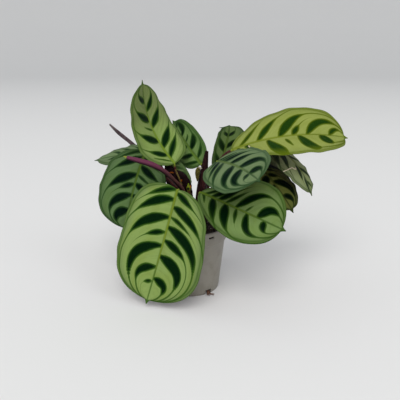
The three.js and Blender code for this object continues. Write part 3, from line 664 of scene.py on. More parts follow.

# Millimetres, degrees and shares of a length or a half width, on the pot's own scale.
# Stance: the midrib starts at base with a heading and a rise, turns and droops along its length,
# and rolls and twists about itself; fold is the halves' angle at foot and tip, curl the bend of
# each half down to its margin; widest and blunt shape the outline; stalk is the angle between
# the stalk's end and the midrib; lobes are how far the halves, left and right, reach back.
# Markings of each half: first its side veins, as how far they lean forward, where they gather
# beyond the tip, how bowed they are and, where it differs from 1, how fast the lean dies away
# towards the tip. Then each blotch: its start along the midrib, its width, its reach to the
# margin and, where they differ, where it is widest and how far off the midrib it starts.
# Colours: the ground near the midrib and near the margin, the blotches' fringe, the blotches and
# the painted sheen on them, the midrib; tip is a tone towards the tip, pale how pale the blotches' ends are.
LEAVES = {
    "leaf_front": dict(
        base=(-7.8, -21, 81.5), length=80, left=35, right=34, heading=216, rise=-71, droop=-3, turn=6,
        roll=-14, twist=-16, fold=(22, 8), curl=17, widest=0.44, blunt=3.5, stalk=130, lobes=(1.8, 3.2),
        marks_left=((0.17, 1.21, 1.48), [(0.035, 4.4, 0.72), (0.155, 6.2, 0.88), (0.245, 2.9, 0.62),
                    (0.335, 7.6, 0.83), (0.455, 5.6, 0.61), (0.60, 8.2, 0.62), (0.80, 5.8, 0.41)]),
        marks_right=((0.23, 1.18, 1.36), [(-0.01, 3.6, 0.72), (0.09, 6.0, 0.80), (0.25, 7.0, 0.79),
                    (0.385, 4.0, 0.41), (0.505, 7.4, 0.66), (0.70, 5.8, 0.44), (0.83, 2.6, 0.20)]),
        inner=(124, 146, 81), outer=(109, 128, 78), fringe=(48, 81, 21), dark=(0, 22, 2), sheen=(8, 38, 14),
        rib=(107, 124, 36)),
    "leaf_left": dict(
        base=(-32, 6, 103.5), length=59, left=26, right=28, heading=216, rise=-63, droop=14, turn=9,
        roll=-19, twist=-17, fold=(16, 9), curl=24, widest=0.48, blunt=2.7, stalk=80,
        marks_left=((0.20, 1.30, 0.90), [(0.05, 3.5, 0.70), (0.185, 5.4, 0.77), (0.305, 2.0, 0.48),
                    (0.42, 4.8, 0.45), (0.57, 6.0, 0.60), (0.77, 6.0, 0.42)]),
        marks_right=((0.36, 1.25, 1.13), [(-0.09, 2.6, 0.85), (0.08, 5.2, 0.72), (0.305, 6.6, 0.72),
                    (0.43, 3.7, 0.38), (0.565, 6.2, 0.62), (0.76, 6.8, 0.45)]),
        inner=(85, 110, 68), outer=(77, 99, 64), fringe=(37, 64, 26), dark=(0, 13, 3), sheen=(4, 30, 20),
        rib=(74, 97, 30)),
    "leaf_far_left": dict(
        base=(-24.5, 25, 98.5), length=49, left=13, right=14, heading=175, rise=0, droop=15, turn=-1,
        roll=-30, twist=13, fold=(13, 8), curl=29, widest=0.47, blunt=2.2, stalk=20,
        marks_left=((0.40, 1.25, 1.20), [(0.08, 2.6, 0.60), (0.26, 3.2, 0.60), (0.45, 2.8, 0.55),
                    (0.66, 2.6, 0.45)]),
        marks_right=((0.40, 1.25, 1.20), [(0.04, 2.6, 0.60), (0.20, 3.2, 0.60), (0.40, 3.0, 0.60),
                    (0.60, 2.6, 0.50)]),
        inner=(103, 124, 86), outer=(102, 118, 88), fringe=(56, 79, 43), dark=(14, 38, 18),
        sheen=(26, 58, 40), rib=(85, 105, 53)),
    "leaf_tall": dict(
        base=(-10.8, -4, 96.2), length=63, left=23, right=23, heading=144, rise=38, droop=-53, turn=19,
        roll=-15, twist=17, fold=(20, 19), curl=30, widest=0.52, blunt=3.6, stalk=55,
        marks_left=((0.30, 1.58, 1.54, 0.9), [(0.04, 1.2, 0.72), (0.136, 4.8, 0.70), (0.33, 6.4, 0.76),
                    (0.47, 1.2, 0.45), (0.595, 6.6, 0.72), (0.809, 5.0, 0.65)]),
        marks_right=((0.42, 1.50, 0.88, 0.4), [(0.07, 4.4, 0.78), (0.222, 5.8, 0.70), (0.488, 5.2, 0.62),
                    (0.685, 4.2, 0.58)]),
        inner=(126, 148, 82), outer=(114, 132, 78), fringe=(56, 86, 26), dark=(2, 26, 3),
        sheen=(10, 44, 16), rib=(107, 131, 39), tip=(106, 118, 72)),
    "leaf_back_left": dict(
        base=(8.5, 10, 93), length=52, left=14, right=13, heading=126, rise=30, droop=1, turn=-13, roll=-51,
        twist=-17, fold=(11, 10), curl=30, widest=0.46, blunt=2.3, stalk=25,
        marks_left=((0.18, 1.23, 1.26), [(0.06, 2.6, 0.90), (0.225, 4.1, 0.75), (0.42, 4.2, 0.65),
                    (0.57, 2.2, 0.40), (0.72, 4.0, 0.48)]),
        marks_right=((0.20, 1.14, 1.74), [(0.12, 3.0, 0.76), (0.33, 5.6, 0.67), (0.50, 1.4, 0.40),
                    (0.65, 4.6, 0.47), (0.86, 2.2, 0.25)]),
        inner=(101, 127, 72), outer=(80, 106, 59), fringe=(42, 72, 27), dark=(0, 18, 1), sheen=(6, 36, 14),
        rib=(84, 110, 41)),
    "leaf_back_small": dict(
        base=(-14.5, 3, 97.5), length=24, left=6, right=6, heading=352, rise=-53, droop=2, turn=0, roll=70,
        twist=0, fold=(12, 10), curl=20, widest=0.48, blunt=2.3, stalk=85,
        marks_left=((0.35, 1.25, 1.20), [(0.08, 1.2, 0.65), (0.27, 1.5, 0.65), (0.46, 1.5, 0.60),
                    (0.66, 1.3, 0.45)]),
        marks_right=((0.35, 1.25, 1.20), [(0.14, 1.4, 0.65), (0.34, 1.5, 0.65), (0.55, 1.4, 0.55),
                    (0.76, 1.1, 0.35)]),
        inner=(106, 127, 80), outer=(93, 112, 70), fringe=(55, 80, 40), dark=(14, 36, 16),
        sheen=(26, 54, 34), rib=(91, 110, 54)),
    "leaf_back_right": dict(
        base=(22, 20, 82.2), length=56, left=9, right=16, heading=63, rise=60, droop=49, turn=25, roll=20,
        twist=-20, fold=(16, 17), curl=25, widest=0.46, blunt=2.8, stalk=10, lobes=(0.6, 0.6),
        marks_left=((0.34, 1.23, 1.02), [(0.077, 4.3, 0.73), (0.358, 4.9, 0.70), (0.67, 4.0, 0.38)]),
        marks_right=((0.46, 1.17, 0.78), [(0.037, 3.2, 0.57), (0.217, 3.4, 0.51), (0.41, 4.2, 0.46),
                    (0.659, 3.8, 0.36)]),
        inner=(81, 100, 55), outer=(74, 92, 55), fringe=(35, 58, 19), dark=(0, 12, 0), sheen=(4, 26, 8),
        rib=(70, 89, 34)),
    "leaf_centre_right": dict(
        base=(19.7, -8, 98.8), length=54, left=20, right=23, heading=300, rise=7, droop=16, turn=-9,
        roll=25, twist=13, fold=(17, 14), curl=28, widest=0.50, blunt=2.8, stalk=50, lobes=(2.0, 0.2),
        marks_left=((0.38, 1.28, 0.70), [(-0.03, 1.8, 0.60), (0.055, 2.0, 0.66), (0.125, 3.6, 0.74),
                    (0.29, 4.6, 0.68), (0.525, 5.8, 0.76), (0.775, 4.8, 0.56)]),
        marks_right=((0.36, 1.25, 0.83), [(-0.06, 1.8, 0.70), (0.045, 3.4, 0.84), (0.16, 3.4, 0.95),
                    (0.405, 5.8, 0.80), (0.605, 5.8, 0.68), (0.785, 2.8, 0.34)]),
        inner=(103, 122, 85), outer=(92, 113, 79), fringe=(47, 72, 41), dark=(0, 18, 7), sheen=(10, 38, 22),
        rib=(89, 109, 61)),
    "leaf_top_right": dict(
        base=(30.5, 0, 105.4), length=84, left=26, right=25, heading=-1, rise=22, droop=33, turn=12,
        roll=20, twist=18, fold=(8, 26), curl=15, widest=0.55, blunt=2.2, stalk=15, lobes=(1.4, 1.4),
        marks_left=((0.30, 1.23, 0.99, 0.9), [(0.06, 2.8, 0.79), (0.225, 5.0, 0.74), (0.415, 7.0, 0.71),
                    (0.528, 4.3, 0.32), (0.655, 6.0, 0.58), (0.855, 3.8, 0.34)]),
        marks_right=((0.11, 1.39, 1.22), [(0.044, 1.6, 0.54), (0.125, 3.4, 0.49),
                    (0.31, 8.6, 0.95, 0.66, 0.14), (0.45, 2.2, 0.58, 0.30, 0.20),
                    (0.583, 8.6, 0.84, 0.66, 0.08), (0.783, 8.4, 0.64, 0.55, 0.04)]),
        inner=(135, 146, 74), outer=(124, 135, 72), fringe=(80, 96, 12), dark=(20, 46, 0),
        sheen=(36, 72, 18), rib=(111, 123, 38), pale=0.8),
    "leaf_low_right": dict(
        base=(7.7, -9, 76.3), length=67, left=28, right=23, heading=324, rise=-11, droop=2, turn=0, roll=16,
        twist=38, fold=(16, 11), curl=23, widest=0.55, blunt=1.8, stalk=75,
        marks_left=((0.31, 1.16, 0.98), [(0.04, 2.4, 0.59), (0.139, 4.2, 0.61), (0.232, 4.6, 0.52),
                    (0.326, 2.8, 0.50), (0.45, 5.8, 0.66), (0.566, 1.0, 0.21), (0.715, 6.6, 0.45)]),
        marks_right=((0.24, 1.32, 1.04), [(0.03, 1.6, 0.60), (0.17, 5.4, 0.90), (0.338, 6.6, 0.84),
                    (0.472, 2.3, 0.49), (0.60, 4.8, 0.72), (0.80, 4.6, 0.46)]),
        inner=(108, 132, 76), outer=(95, 117, 67), fringe=(45, 74, 20), dark=(0, 18, 2), sheen=(7, 36, 14),
        rib=(92, 117, 37)),
    # this blade's colours are darker than its own: painted shade from the blades above it
    "leaf_shaded_right": dict(
        base=(43.5, 18, 97.5), length=54, left=19, right=19, heading=317, rise=-27, droop=21, turn=-6,
        roll=8, twist=2, fold=(11, 8), curl=31, widest=0.48, blunt=2.4, stalk=30,
        marks_left=((0.30, 1.25, 1.20), [(0.08, 3.6, 0.70), (0.20, 5.0, 0.75), (0.31, 2.4, 0.45),
                    (0.42, 3.2, 0.36), (0.55, 6.5, 0.66), (0.79, 4.8, 0.42)]),
        marks_right=((0.30, 1.25, 1.20), [(0.10, 4.2, 0.70), (0.26, 5.4, 0.70), (0.44, 6.0, 0.60),
                    (0.60, 2.8, 0.36), (0.75, 4.8, 0.40)]),
        inner=(84, 90, 42), outer=(80, 86, 42), fringe=(32, 42, 12), dark=(0, 8, 1), sheen=(6, 20, 8),
        rib=(60, 66, 24)),
    "leaf_far_right": dict(
        base=(61.3, 20, 105.7), length=48, left=12, right=19, heading=331, rise=-20, droop=47, turn=-9,
        roll=6, twist=-8, fold=(1, 17), curl=33, widest=0.47, blunt=2.0, stalk=30, lobes=(0, 0.5),
        marks_left=((0.30, 1.35, 0.70, 0.5), [(0.08, 2.4, 0.60), (0.30, 2.4, 0.60), (0.55, 3.0, 0.75),
                    (0.80, 1.6, 0.40)]),
        marks_right=((0.72, 1.20, 0.80, 0.8), [(-0.27, 4.6, 0.90, 0.6, 0.1), (0.03, 5.2, 0.66),
                    (0.47, 4.2, 0.42), (0.70, 3.6, 0.38)]),
        inner=(138, 149, 106), outer=(129, 140, 101), fringe=(60, 76, 42), dark=(20, 34, 18),
        sheen=(38, 54, 34), rib=(114, 126, 68)),
}


def midrib(leaf, t):
    """Places on the midrib and its axes (along, to the left, up) at shares t of the length."""
    def direction(u):
        heading = np.radians(leaf["heading"] + leaf["turn"] * u)
        rise = np.radians(leaf["rise"] - leaf["droop"] * u)
        return np.stack([np.cos(rise) * np.cos(heading), np.cos(rise) * np.sin(heading), np.sin(rise)], -1)
    steps, end = 440, 1.1
    knots = np.linspace(0, end, steps + 1)
    walk = direction((knots[1:] + knots[:-1]) / 2) * leaf["length"] * end / steps
    path = np.vstack([np.zeros(3), np.cumsum(walk, 0)])
    behind = np.minimum(t, 0)[..., None] * leaf["length"] * direction(np.zeros(1))
    ahead = np.stack([np.interp(t, knots, path[:, k]) for k in range(3)], -1)
    along = direction(t)
    heading = np.radians(leaf["heading"] + leaf["turn"] * t)
    level = np.stack([-np.sin(heading), np.cos(heading), np.zeros_like(heading)], -1)
    upright = np.cross(along, level)
    roll = np.radians(leaf["roll"] + leaf["twist"] * np.minimum(t, 1))[..., None]
    side = level * np.cos(roll) + upright * np.sin(roll)
    up = upright * np.cos(roll) - level * np.sin(roll)
    return ahead + behind + np.array(leaf["base"], float), along, side, up


def half_width(leaf, t, left):
    """Width of one half of the blade, in millimetres: an oval with a short drip tip."""
    full = np.where(left, leaf["left"], leaf["right"])
    u = 2 * np.clip(t, 0, 1) ** (math.log(0.5) / math.log(leaf["widest"])) - 1
    oval = full * np.sqrt(np.clip(1 - np.abs(u) ** leaf["blunt"], 0, None))
    to_end = np.clip(leaf["length"] * (1 - t) + DRIP_TIP, 0, None)
    tip = np.where(t > 0.9, 0.3 + 0.3 * to_end + 0.08 * to_end ** 2, 0)
    foot = np.where(t < 0.03, STALK_END_HALF, 0)
    return np.maximum(np.maximum(oval, np.minimum(tip, full)), foot)


def on_blade(leaf, t, share):
    """Points, upward normals and half widths, at share -1 (right margin) to 1 (left)."""
    hand = np.where(share > 0, 1.0, -1.0)
    width = half_width(leaf, t, share > 0)
    # rounded lobes reach back past the stalk on a heart-shaped base
    lobe = np.where(share > 0, *leaf.get("lobes", (0, 0))) * np.clip(1 - t, 0, 1) ** 5
    lobe = lobe * (1 - np.exp(-np.abs(share) * width / LOBE_REACH))
    place, _, side, up = midrib(leaf, t - lobe / leaf["length"])
    curl = math.radians(leaf["curl"])
    at_foot, at_tip = leaf["fold"]
    fold = np.radians(at_foot + (at_tip - at_foot) * np.minimum(t, 1))
    bend = fold - curl * np.abs(share)
    out = width * (np.sin(fold) - np.sin(bend)) / curl
    lift = width * (np.cos(bend) - np.cos(fold)) / curl
    point = place + side * (hand * out)[:, None] + up * lift[:, None]
    # the crease along the midrib is rounded off
    ease = np.clip(np.abs(share) * width / CREASE, 0, 1)
    normal = up * np.cos(bend)[:, None] - side * (hand * np.sin(bend) * ease)[:, None]
    return point, normal / np.linalg.norm(normal, axis=1)[:, None], width


def vein_at(start, share, veins):
    """How far along the blade a side vein from start has come at a share of the half width."""
    lean, gather, bow, *fade = veins
    reach = np.clip(share / np.maximum(gather - start, 1e-3), 0, 0.9995)
    return start + lean * np.maximum(1 - start, 0) ** (fade[0] if fade else 1) * np.arctanh(reach) ** bow


def vein_start(t, share, veins):
    """Where on the midrib the side vein through a point starts, found by halving the range."""
    gather = veins[1]
    low = np.full(t.shape, -3.0)
    high = np.minimum(np.full(t.shape, min(gather, 1.0) - 1e-3), gather - share - 1e-4)
    for _ in range(34):
        middle = (low + high) / 2
        above = vein_at(middle, share, veins) > t
        high = np.where(above, middle, high)
        low = np.where(above, low, middle)
    return (low + high) / 2


def inside_blotches(leaf, t, across, left):
    """Distance inside the nearest blotch of one half, in millimetres, negative outside."""
    veins, blotches = leaf["marks_left" if left else "marks_right"]
    gather = veins[1]
    along = t * leaf["length"]
    far_off = -6.0
    inside = np.full(t.shape, far_off)
    q = np.linspace(0, 1, 40)
    for start, wide, reach, *shape in blotches:
        belly, foot = shape or (0.38, 0.04)
        # it ends short of the margin, and of where the side veins gather
        end = min(reach + 0.02, 0.985 * (gather - start), 0.97)
        s = foot + (end - foot) * (1 - (1 - q) ** 1.5)
        axis_t = vein_at(start, s, veins)
        axis_x = s * half_width(leaf, axis_t, left)
        axis_y = axis_t * leaf["length"]
        gone = np.concatenate([[0], np.cumsum(np.hypot(np.diff(axis_x), np.diff(axis_y)))])
        u = gone / gone[-1]
        swelling = 0.34 + 0.66 * np.sin(np.pi / 2 * np.minimum(u / belly, 1))
        thinning = np.clip(1 - np.maximum((u - belly) / (1 - belly), 0) ** 1.7, 0, 1) ** 1.15
        radius = wide / 2 * np.where(u < belly, swelling, thinning)
        for x, y, r in zip(axis_x, axis_y, radius):
            inside = np.maximum(inside, r - np.hypot(across - x, along - y))
    return inside


def marks(leaf, t, share, width, left):
    """Markings of one half at shares t and share: distance inside a blotch, where the side vein
    starts, and the blotches' drawn-out ends, as a line count, the lines' spacing and half width."""
    veins, blotches = leaf["marks_left" if left else "marks_right"]
    starts, widths, reaches = (np.array([blotch[k] for blotch in blotches]) for k in range(3))
    start = vein_start(t, share, veins)
    eps = 1e-3
    by_t = (vein_start(t + eps, share, veins) - start) / eps
    by_s = (vein_start(t, share + eps, veins) - start) / eps
    slope = (half_width(leaf, t + eps, left) - width) / eps
    by_y = (by_t - share * slope / width * by_s) / leaf["length"]
    steep = np.maximum(np.hypot(by_s / width, by_y), 1e-5)
    # a count of fine lines that is whole on every blotch's axis, and their spacing in millimetres
    last, beyond = len(starts) - 1, 8.0
    knots = np.concatenate([[starts[0] - 1.0], starts, [starts[-1] + 1.0]])
    counts = np.concatenate([[-beyond], np.arange(last + 1), [last + beyond]])
    line = np.interp(start, knots, counts)
    rate = (np.interp(start + eps, knots, counts) - np.interp(start - eps, knots, counts)) / (2 * eps)
    spacing = np.minimum(1 / np.maximum(rate, 1e-3) / steep, 40.0)
    nearest = np.clip(np.round(line).astype(int), 0, last)
    on_axis = (line > -0.5) & (line < last + 0.5)
    # a line is widest where its blotch ends, and wider the larger its blotch
    past = (share - reaches[nearest]) / DRAWN_LENGTH
    drawn = np.clip(np.where(past < 0, 1 + 1.5 * past, 1 - past), 0, 1)
    drawn = drawn * np.clip((widths[nearest] - 1.0) / 4.0, 0.0, 1.0)
    tail = np.where(on_axis & (widths[nearest] > DRAWN_FROM), -0.20 + 0.85 * drawn, -1.0)
    return {"blotch": inside_blotches(leaf, t, share * width, left), "vein": start * leaf["length"],
            "line": line, "spacing": spacing, "tail": tail}


def blade_mesh(name, leaf, wave_start):
    """One blade as a closed sheet, its markings kept on its points for the material to read."""
    length = leaf["length"]
    rows = round(length / BLADE_GRID * 1.22)
    columns = 2 * round((leaf["left"] + leaf["right"]) / 2 / BLADE_GRID * 1.08)
    bm = sheet(columns, rows, size=1.0)
    for face in bm.faces:
        face.material_index = 1 if all(v.co.z < -0.5 for v in face.verts) else 0
    mesh = finished_mesh(bm, name)

    count = len(mesh.vertices)
    flat = np.empty(count * 3)
    mesh.vertices.foreach_get("co", flat)
    flat = flat.reshape(-1, 3)
    share = -flat[:, 0]
    even = (flat[:, 1] + 1) / 2
    t = (1 + DRIP_TIP / length) * (0.3 * even + 0.7 * (1 - np.cos(np.pi * even)) / 2)
    lower = flat[:, 2] < -0.5
    point, normal, width = on_blade(leaf, t, share)
    size = np.abs(share)
    across = size * width
    slope = (half_width(leaf, t + 1e-3, share > 0) - half_width(leaf, t - 1e-3, share > 0)) / 2e-3 / length

    # distances in millimetres: the markings of each half, from the margin, inside the midrib
    layers = {key: np.zeros(count) for key in ("blotch", "vein", "line", "spacing", "tail")}
    for left in (True, False):
        half = (share >= 0) == left
        for key, values in marks(leaf, t[half], size[half], width[half], left).items():
            layers[key][half] = values
    edge = (1 - size) * width / np.sqrt(1 + (size * slope) ** 2)
    layers["edge"] = edge
    layers["rib"] = 0.10 + 1.05 * np.clip(1 - t, 0, 1) ** 1.1 - across
    layers["ahead"] = np.clip(t, 0, 1)

    # relief: quilting between the veins, a groove along the midrib, a faint wave at the margin
    soft = np.clip(across / 4, 0, 1) * np.clip(edge / 4, 0, 1)
    quilt = QUILT_DEPTH * np.sin(2 * np.pi * layers["vein"] / QUILT_PITCH) * soft
    groove = -GROOVE_DEPTH * np.exp(-(across / GROOVE_HALF) ** 2)
    groove = groove * np.clip(t * 12, 0, 1) * np.clip((1 - t) * 8, 0, 1)
    wave = np.sin(t * 23 + wave_start) + 0.6 * np.sin(t * 41 + 2 * wave_start + 2 * (share > 0))
    wave = MARGIN_WAVE * size ** 4 * wave * np.clip(width / 8, 0, 1)
    keel = np.clip(1 - across / (MIDRIB_HALF * (1 - 0.6 * np.clip(t, 0, 1))), 0, 1)
    keel = MIDRIB_DEPTH * np.clip(1 - t, 0, 1) ** 0.7 * keel
    thin = MARGIN_THICKNESS + (1 - MARGIN_THICKNESS) * np.clip(edge / MARGIN_WIDTH, 0, 1)
    thin = BLADE_HALF_THICKNESS * thin
    away = quilt + wave + np.where(lower, -thin - keel, thin + groove)
    mesh.vertices.foreach_set("co", ((point + normal * away[:, None]) * MM).ravel())

    for key, values in layers.items():
        mesh.attributes.new(key, "FLOAT", "POINT").data.foreach_set("value", values.astype(np.float32))
    corner = np.empty(len(mesh.loops), dtype=np.int32)
    mesh.loops.foreach_get("vertex_index", corner)
    flat_place = np.stack([0.5 + share * width / 100, layers["vein"] / 100], -1)
    mesh.uv_layers.new(name="blade").data.foreach_set("uv", flat_place[corner].astype(np.float32).ravel())
    mesh.update()
    return mesh


# shared finish: the upper skin of a blade, from the distances kept on its points
blade_skin, skin, given, out = shared_finish(
    "blade_skin", Inner=(0.2, 0.3, 0.1, 1), Outer=(0.15, 0.25, 0.1, 1), Fringe=(0.05, 0.1, 0.02, 1),
    Dark=(0.01, 0.03, 0.01, 1), Sheen=(0.01, 0.05, 0.03, 1), Rib=(0.3, 0.4, 0.1, 1), Seed=0.0,
    Pale_Ends=0.25, Tip_Tone=(0.1, 0.1, 0.05, 1), Tip_Share=0.0)
blotch, edge, rib, line = (skin.kept(name) for name in ("blotch", "edge", "rib", "line"))
fringe = given["Fringe"]
# every blade reads another stretch of the same fibres
shifted = skin.node("VectorMath", operation="ADD")
skin.feed(shifted.inputs[0], skin.flat_place("blade"))
skin.feed(shifted.inputs[1], given["Seed"])
place = shifted.outputs[0]
fibre = skin.cloud(place, 100.0, 4.0, 0.62, stretch=(0.16, 1.5, 1.0))
fine_fibre = skin.cloud(place, 100.0, 3.0, 0.6, stretch=(0.5, 4.5, 1.0))
tint = skin.cloud(place, 9.0, 3.0, 0.5)
ground = skin.blend(skin.step_up(edge, 0.6, 9.0), given["Outer"], given["Inner"])
ground = skin.blend(skin.times(skin.step_up(fibre, 0.46, 0.74), 0.15), ground, fringe)
ground = skin.blend(skin.times(skin.step_up(tint, 0.42, 0.7), 0.30), ground, given["Rib"])
towards_tip = skin.times(skin.step_up(skin.kept("ahead"), 0.35, 0.75), given["Tip Share"])
ground = skin.blend(towards_tip, ground, given["Tip Tone"])
# each blotch is drawn out along its side vein in a thinning line
off_line = skin.maths("ABSOLUTE", skin.less(line, skin.maths("ROUND", line)))
off_line = skin.times(off_line, skin.kept("spacing"))
drawn = skin.step_up(skin.less(skin.kept("tail"), off_line), -0.28, 0.20)
ground = skin.blend(skin.times(drawn, 0.88), ground, fringe)
# the border is soft and follows the fibres a little
feather = skin.times(skin.less(fibre, 0.5), 1.3)
marked = skin.plus(blotch, skin.times_plus(skin.less(fine_fibre, 0.5), 0.5, feather))
core = skin.step_up(marked, -0.15, 1.25)
# the blotches' cores are speckled with their sheen colour: painted glints of light on the glossy blotches
grain = skin.step_up(skin.cloud(skin.object_place(), 1100.0, 2.0, 0.6), 0.48, 0.72)
dark = skin.blend(skin.times_plus(grain, 0.40, 0.18), given["Dark"], given["Sheen"])
# a blotch's outer end is paler than its foot
dark = skin.blend(skin.times(skin.step_down(edge, 2.0, 10.0), given["Pale Ends"]), dark, fringe)
tone = skin.blend(skin.step_up(marked, -0.75, 0.10), ground, fringe)
tone = skin.blend(core, tone, dark)
# the blotches' drawn-out ends meet in a fine dark line just inside the margin
seam = skin.times(skin.step_up(edge, 1.0, 1.9), skin.step_down(edge, 1.9, 2.9))
tone = skin.blend(skin.times(seam, skin.times_plus(tint, 0.9, 0.15)), tone, fringe)
# the pale midrib, darker towards the tip, between two darker lines
tone = skin.blend(skin.times(skin.step_up(rib, -0.9, -0.1), 0.45), tone, fringe)
rib_tone = skin.blend(skin.step_up(skin.kept("ahead"), 0.55, 0.85), given["Rib"], fringe)
tone = skin.blend(skin.times(skin.step_up(rib, -0.6, 0.5), 0.88), tone, rib_tone)
# a thin dark margin, and beside it a darker band of painted shade, where the margin curls away from the light
border = skin.times(skin.step_down(edge, 0.15, 0.7), 0.75)
painted_margin_shade = skin.times(skin.step_down(edge, 0.3, 4.4), 0.48)
tone = skin.blend(skin.maths("MAXIMUM", border, painted_margin_shade), tone, fringe)
skin.feed(out["Color"], tone)
gloss = skin.times_plus(core, -0.10, 0.44)
skin.feed(out["Roughness"], skin.times_plus(fine_fibre, 0.10, gloss))
veinlets = skin.maths("SINE", skin.times(skin.kept("vein"), 2 * math.pi / VEINLET_PITCH))
skin.feed(out["Height"], skin.plus(skin.times(veinlets, 0.4), fine_fibre))

blade_under, skin = new_finish("blade_under")
fibre = skin.cloud(skin.flat_place("blade"), 100.0, 4.0, 0.6, stretch=(0.25, 2.2, 1.0))
purple = skin.blend(skin.step_up(fibre, 0.38, 0.7), srgb(74, 28, 44), srgb(112, 62, 74))
purple = skin.blend(skin.step_up(skin.kept("rib"), -0.4, 0.4), purple, srgb(150, 128, 92))
skin.wear(purple, skin.times_plus(fibre, 0.2, 0.42), fibre, 0.00008)

for number, (node_name, leaf) in enumerate(LEAVES.items()):
    mesh = blade_mesh(node_name.replace("leaf", "blade"), leaf, wave_start=number * 1.7)
    upper, skin = new_finish(mesh.name + "_skin")
    tones = ("inner", "outer", "fringe", "dark", "sheen", "rib")
    tones = {tone.capitalize(): srgb(*leaf[tone]) for tone in tones}
    skin.wear_shared(blade_skin, 0.00005, Seed=number * 3.1, Pale_Ends=leaf.get("pale", 0.25),
                     Tip_Tone=srgb(*leaf.get("tip", leaf["outer"])),
                     Tip_Share=0.75 if "tip" in leaf else 0.0, **tones)
    skin.shader.inputs["Specular IOR Level"].default_value = 0.025
    set_piece(mesh, node_name, "leaf", upper, blade_under)


# Leaf stalks
# Each blade stands on its own stalk, which leaves the sheaths as a maroon stem and ends under
# the blade in a short swollen yellow-green joint. Two old dry remains are still attached.
PULVINUS = 5.0
STALKS = {
    "leaf_front": [(-1, 0, 52, 1.6), (-1, -9, 60, 1.4), (-4, -14, 68, 1.4)],
    "leaf_left": [(-3, 0, 70, 1.6), (-9, -3, 78, 1.5), (-17, -1, 86, 1.4)],
    "leaf_far_left": [(-4, 6, 76, 1.6), (-13, 18, 92, 1.4)],
    "leaf_tall": [(-4, 3, 70, 1.1), (-6.4, 2, 80, 0.9), (-8.6, -1, 85.5, 0.85)],
    "leaf_back_small": [(-5, 7, 78, 1.5), (-7, 8, 84, 1.4)],
    "leaf_back_left": [(8.2, 2.2, 68, 1.7), (8.5, 2.5, 76, 1.6)],
    "leaf_back_right": [(8, 4, 62, 1.6), (16, 14, 66, 1.4)],
    "leaf_centre_right": [(9, 1.5, 66, 1.6), (10.5, -0.5, 82, 1.5), (14, -3.5, 92, 1.4)],
    "leaf_top_right": [(10, 3, 82, 1.6), (22, 2, 97, 1.4)],
    "leaf_low_right": [(7, 1, 62, 1.6), (7.2, -2, 68, 1.5)],
    "leaf_shaded_right": [(9, 4, 72, 1.6), (24, 13, 88, 1.4)],
    "leaf_far_right": [(10, 4, 82, 1.6), (26, 10, 96, 1.4), (38, 17, 101, 1.3)],
}
LEFT_SHOOT = ("leaf_front", "leaf_left", "leaf_far_left", "leaf_tall", "leaf_back_small")


def ribbed(turn, share, radius):
    """A round stalk with six faint ribs."""
    return radius * (1 + 0.03 * math.cos(2 * math.pi * 6 * turn))


stalk_skin = stem_material("stalk_skin", srgb(34, 13, 16), srgb(82, 44, 42), srgb(118, 132, 44), lines=9.0,
                           tip=1.0)
for node_name, line in STALKS.items():
    leaf = LEAVES[node_name]
    place, along, _, up = (row[0] for row in midrib(leaf, np.array([0.0])))
    lean = math.radians(leaf["stalk"])
    aim = along * math.cos(lean) + up * math.sin(lean)
    top = place + aim * 0.25 - up * 0.2
    swollen = place - aim * (0.3 + 1.5 * math.sin(lean) + PULVINUS * 0.5)
    neck = swollen - aim * PULVINUS * 0.6
    thick = line[-1][3]
    line = line + [(*neck, thick * 0.82), (*swollen, thick * 1.04), (*top, thick * 0.72)]
    mesh = rod_mesh(node_name.replace("leaf", "stalk"), line, sides=20, rings=64, swell=ribbed)
    set_piece(mesh, "stalks_left" if node_name in LEFT_SHOOT else "stalks_right", "stalk", stalk_skin)

# an old stalk of the left shoot has dried up, tan and shrunken
DRY_STALK = [(-5.8, -3.8, 80.5, 0.6), (-7, -4.8, 84.5, 0.62), (-8.6, -5.4, 88.5, 0.6), (-10, -5, 92.5, 0.5)]
# shreds of older, rust-brown sheath still cling to the shoot
SHREDS = [[(-11.6, -4.4, 89.6, 0.7), (-13, -4.8, 90, 1.0), (-14.4, -4.6, 89.7, 0.6)],
          [(0.4, -4.4, 80.4, 0.35), (0.7, -4.8, 79.2, 0.65), (0.5, -4.6, 77.8, 0.35)],
          [(-6.0, -5.6, 83.4, 0.3), (-5.8, -6.3, 84.2, 0.5), (-5.9, -6.0, 85.2, 0.25)]]


def shrunken(turn, share, radius):
    """A dried stem: three deep furrows that wind round it."""
    return radius * (1 + 0.12 * math.cos(2 * math.pi * 3 * turn + 9 * share))


dry_skin = stem_material("dry_skin", srgb(70, 58, 28), srgb(118, 102, 58), lines=7.0, gloss=0.62,
                         relief=0.0002)
shred_skin = stem_material("shred_skin", srgb(112, 56, 10), srgb(168, 90, 22), lines=5.0, gloss=0.6,
                           relief=0.0002)
dry_stalk = rod_mesh("dry_stalk", DRY_STALK, sides=16, rings=40, swell=shrunken)
set_piece(dry_stalk, "stalks_left", "stalk", dry_skin)
shreds = [rod_mesh("shred", line, sides=12, rings=16, swell=flattened) for line in SHREDS]
set_piece(joined("sheath_shreds", shreds), "stalks_left", "stalk", shred_skin)

# dry bits lie on two blades: a straw across the far right one, and a flake near the foot of the
# top right one, their places given as shares of the blade's length and of its half width
STRAW = [(0.515, -1.0), (0.525, -0.80), (0.53, -0.60), (0.535, -0.50), (0.57, -0.44), (0.58, -0.36),
         (0.56, -0.31)]
FLAKE = [(0.147, -0.26), (0.15, -0.31), (0.153, -0.37)]
thread_skin = stem_material("thread_skin", srgb(186, 176, 146), srgb(222, 214, 186), lines=3.0, gloss=0.6)
for name, node_name, way, thick in (
    ("straw", "leaf_far_right", STRAW, 0.42),
    ("flake", "leaf_top_right", FLAKE, 0.55),
):
    point, normal, width = on_blade(LEAVES[node_name], *np.array(way).T)
    line = [(*place, thick) for place in point + normal * (BLADE_HALF_THICKNESS + thick * 0.6)]
    set_piece(rod_mesh(name, line, sides=10, rings=30), node_name, "leaf", thread_skin)

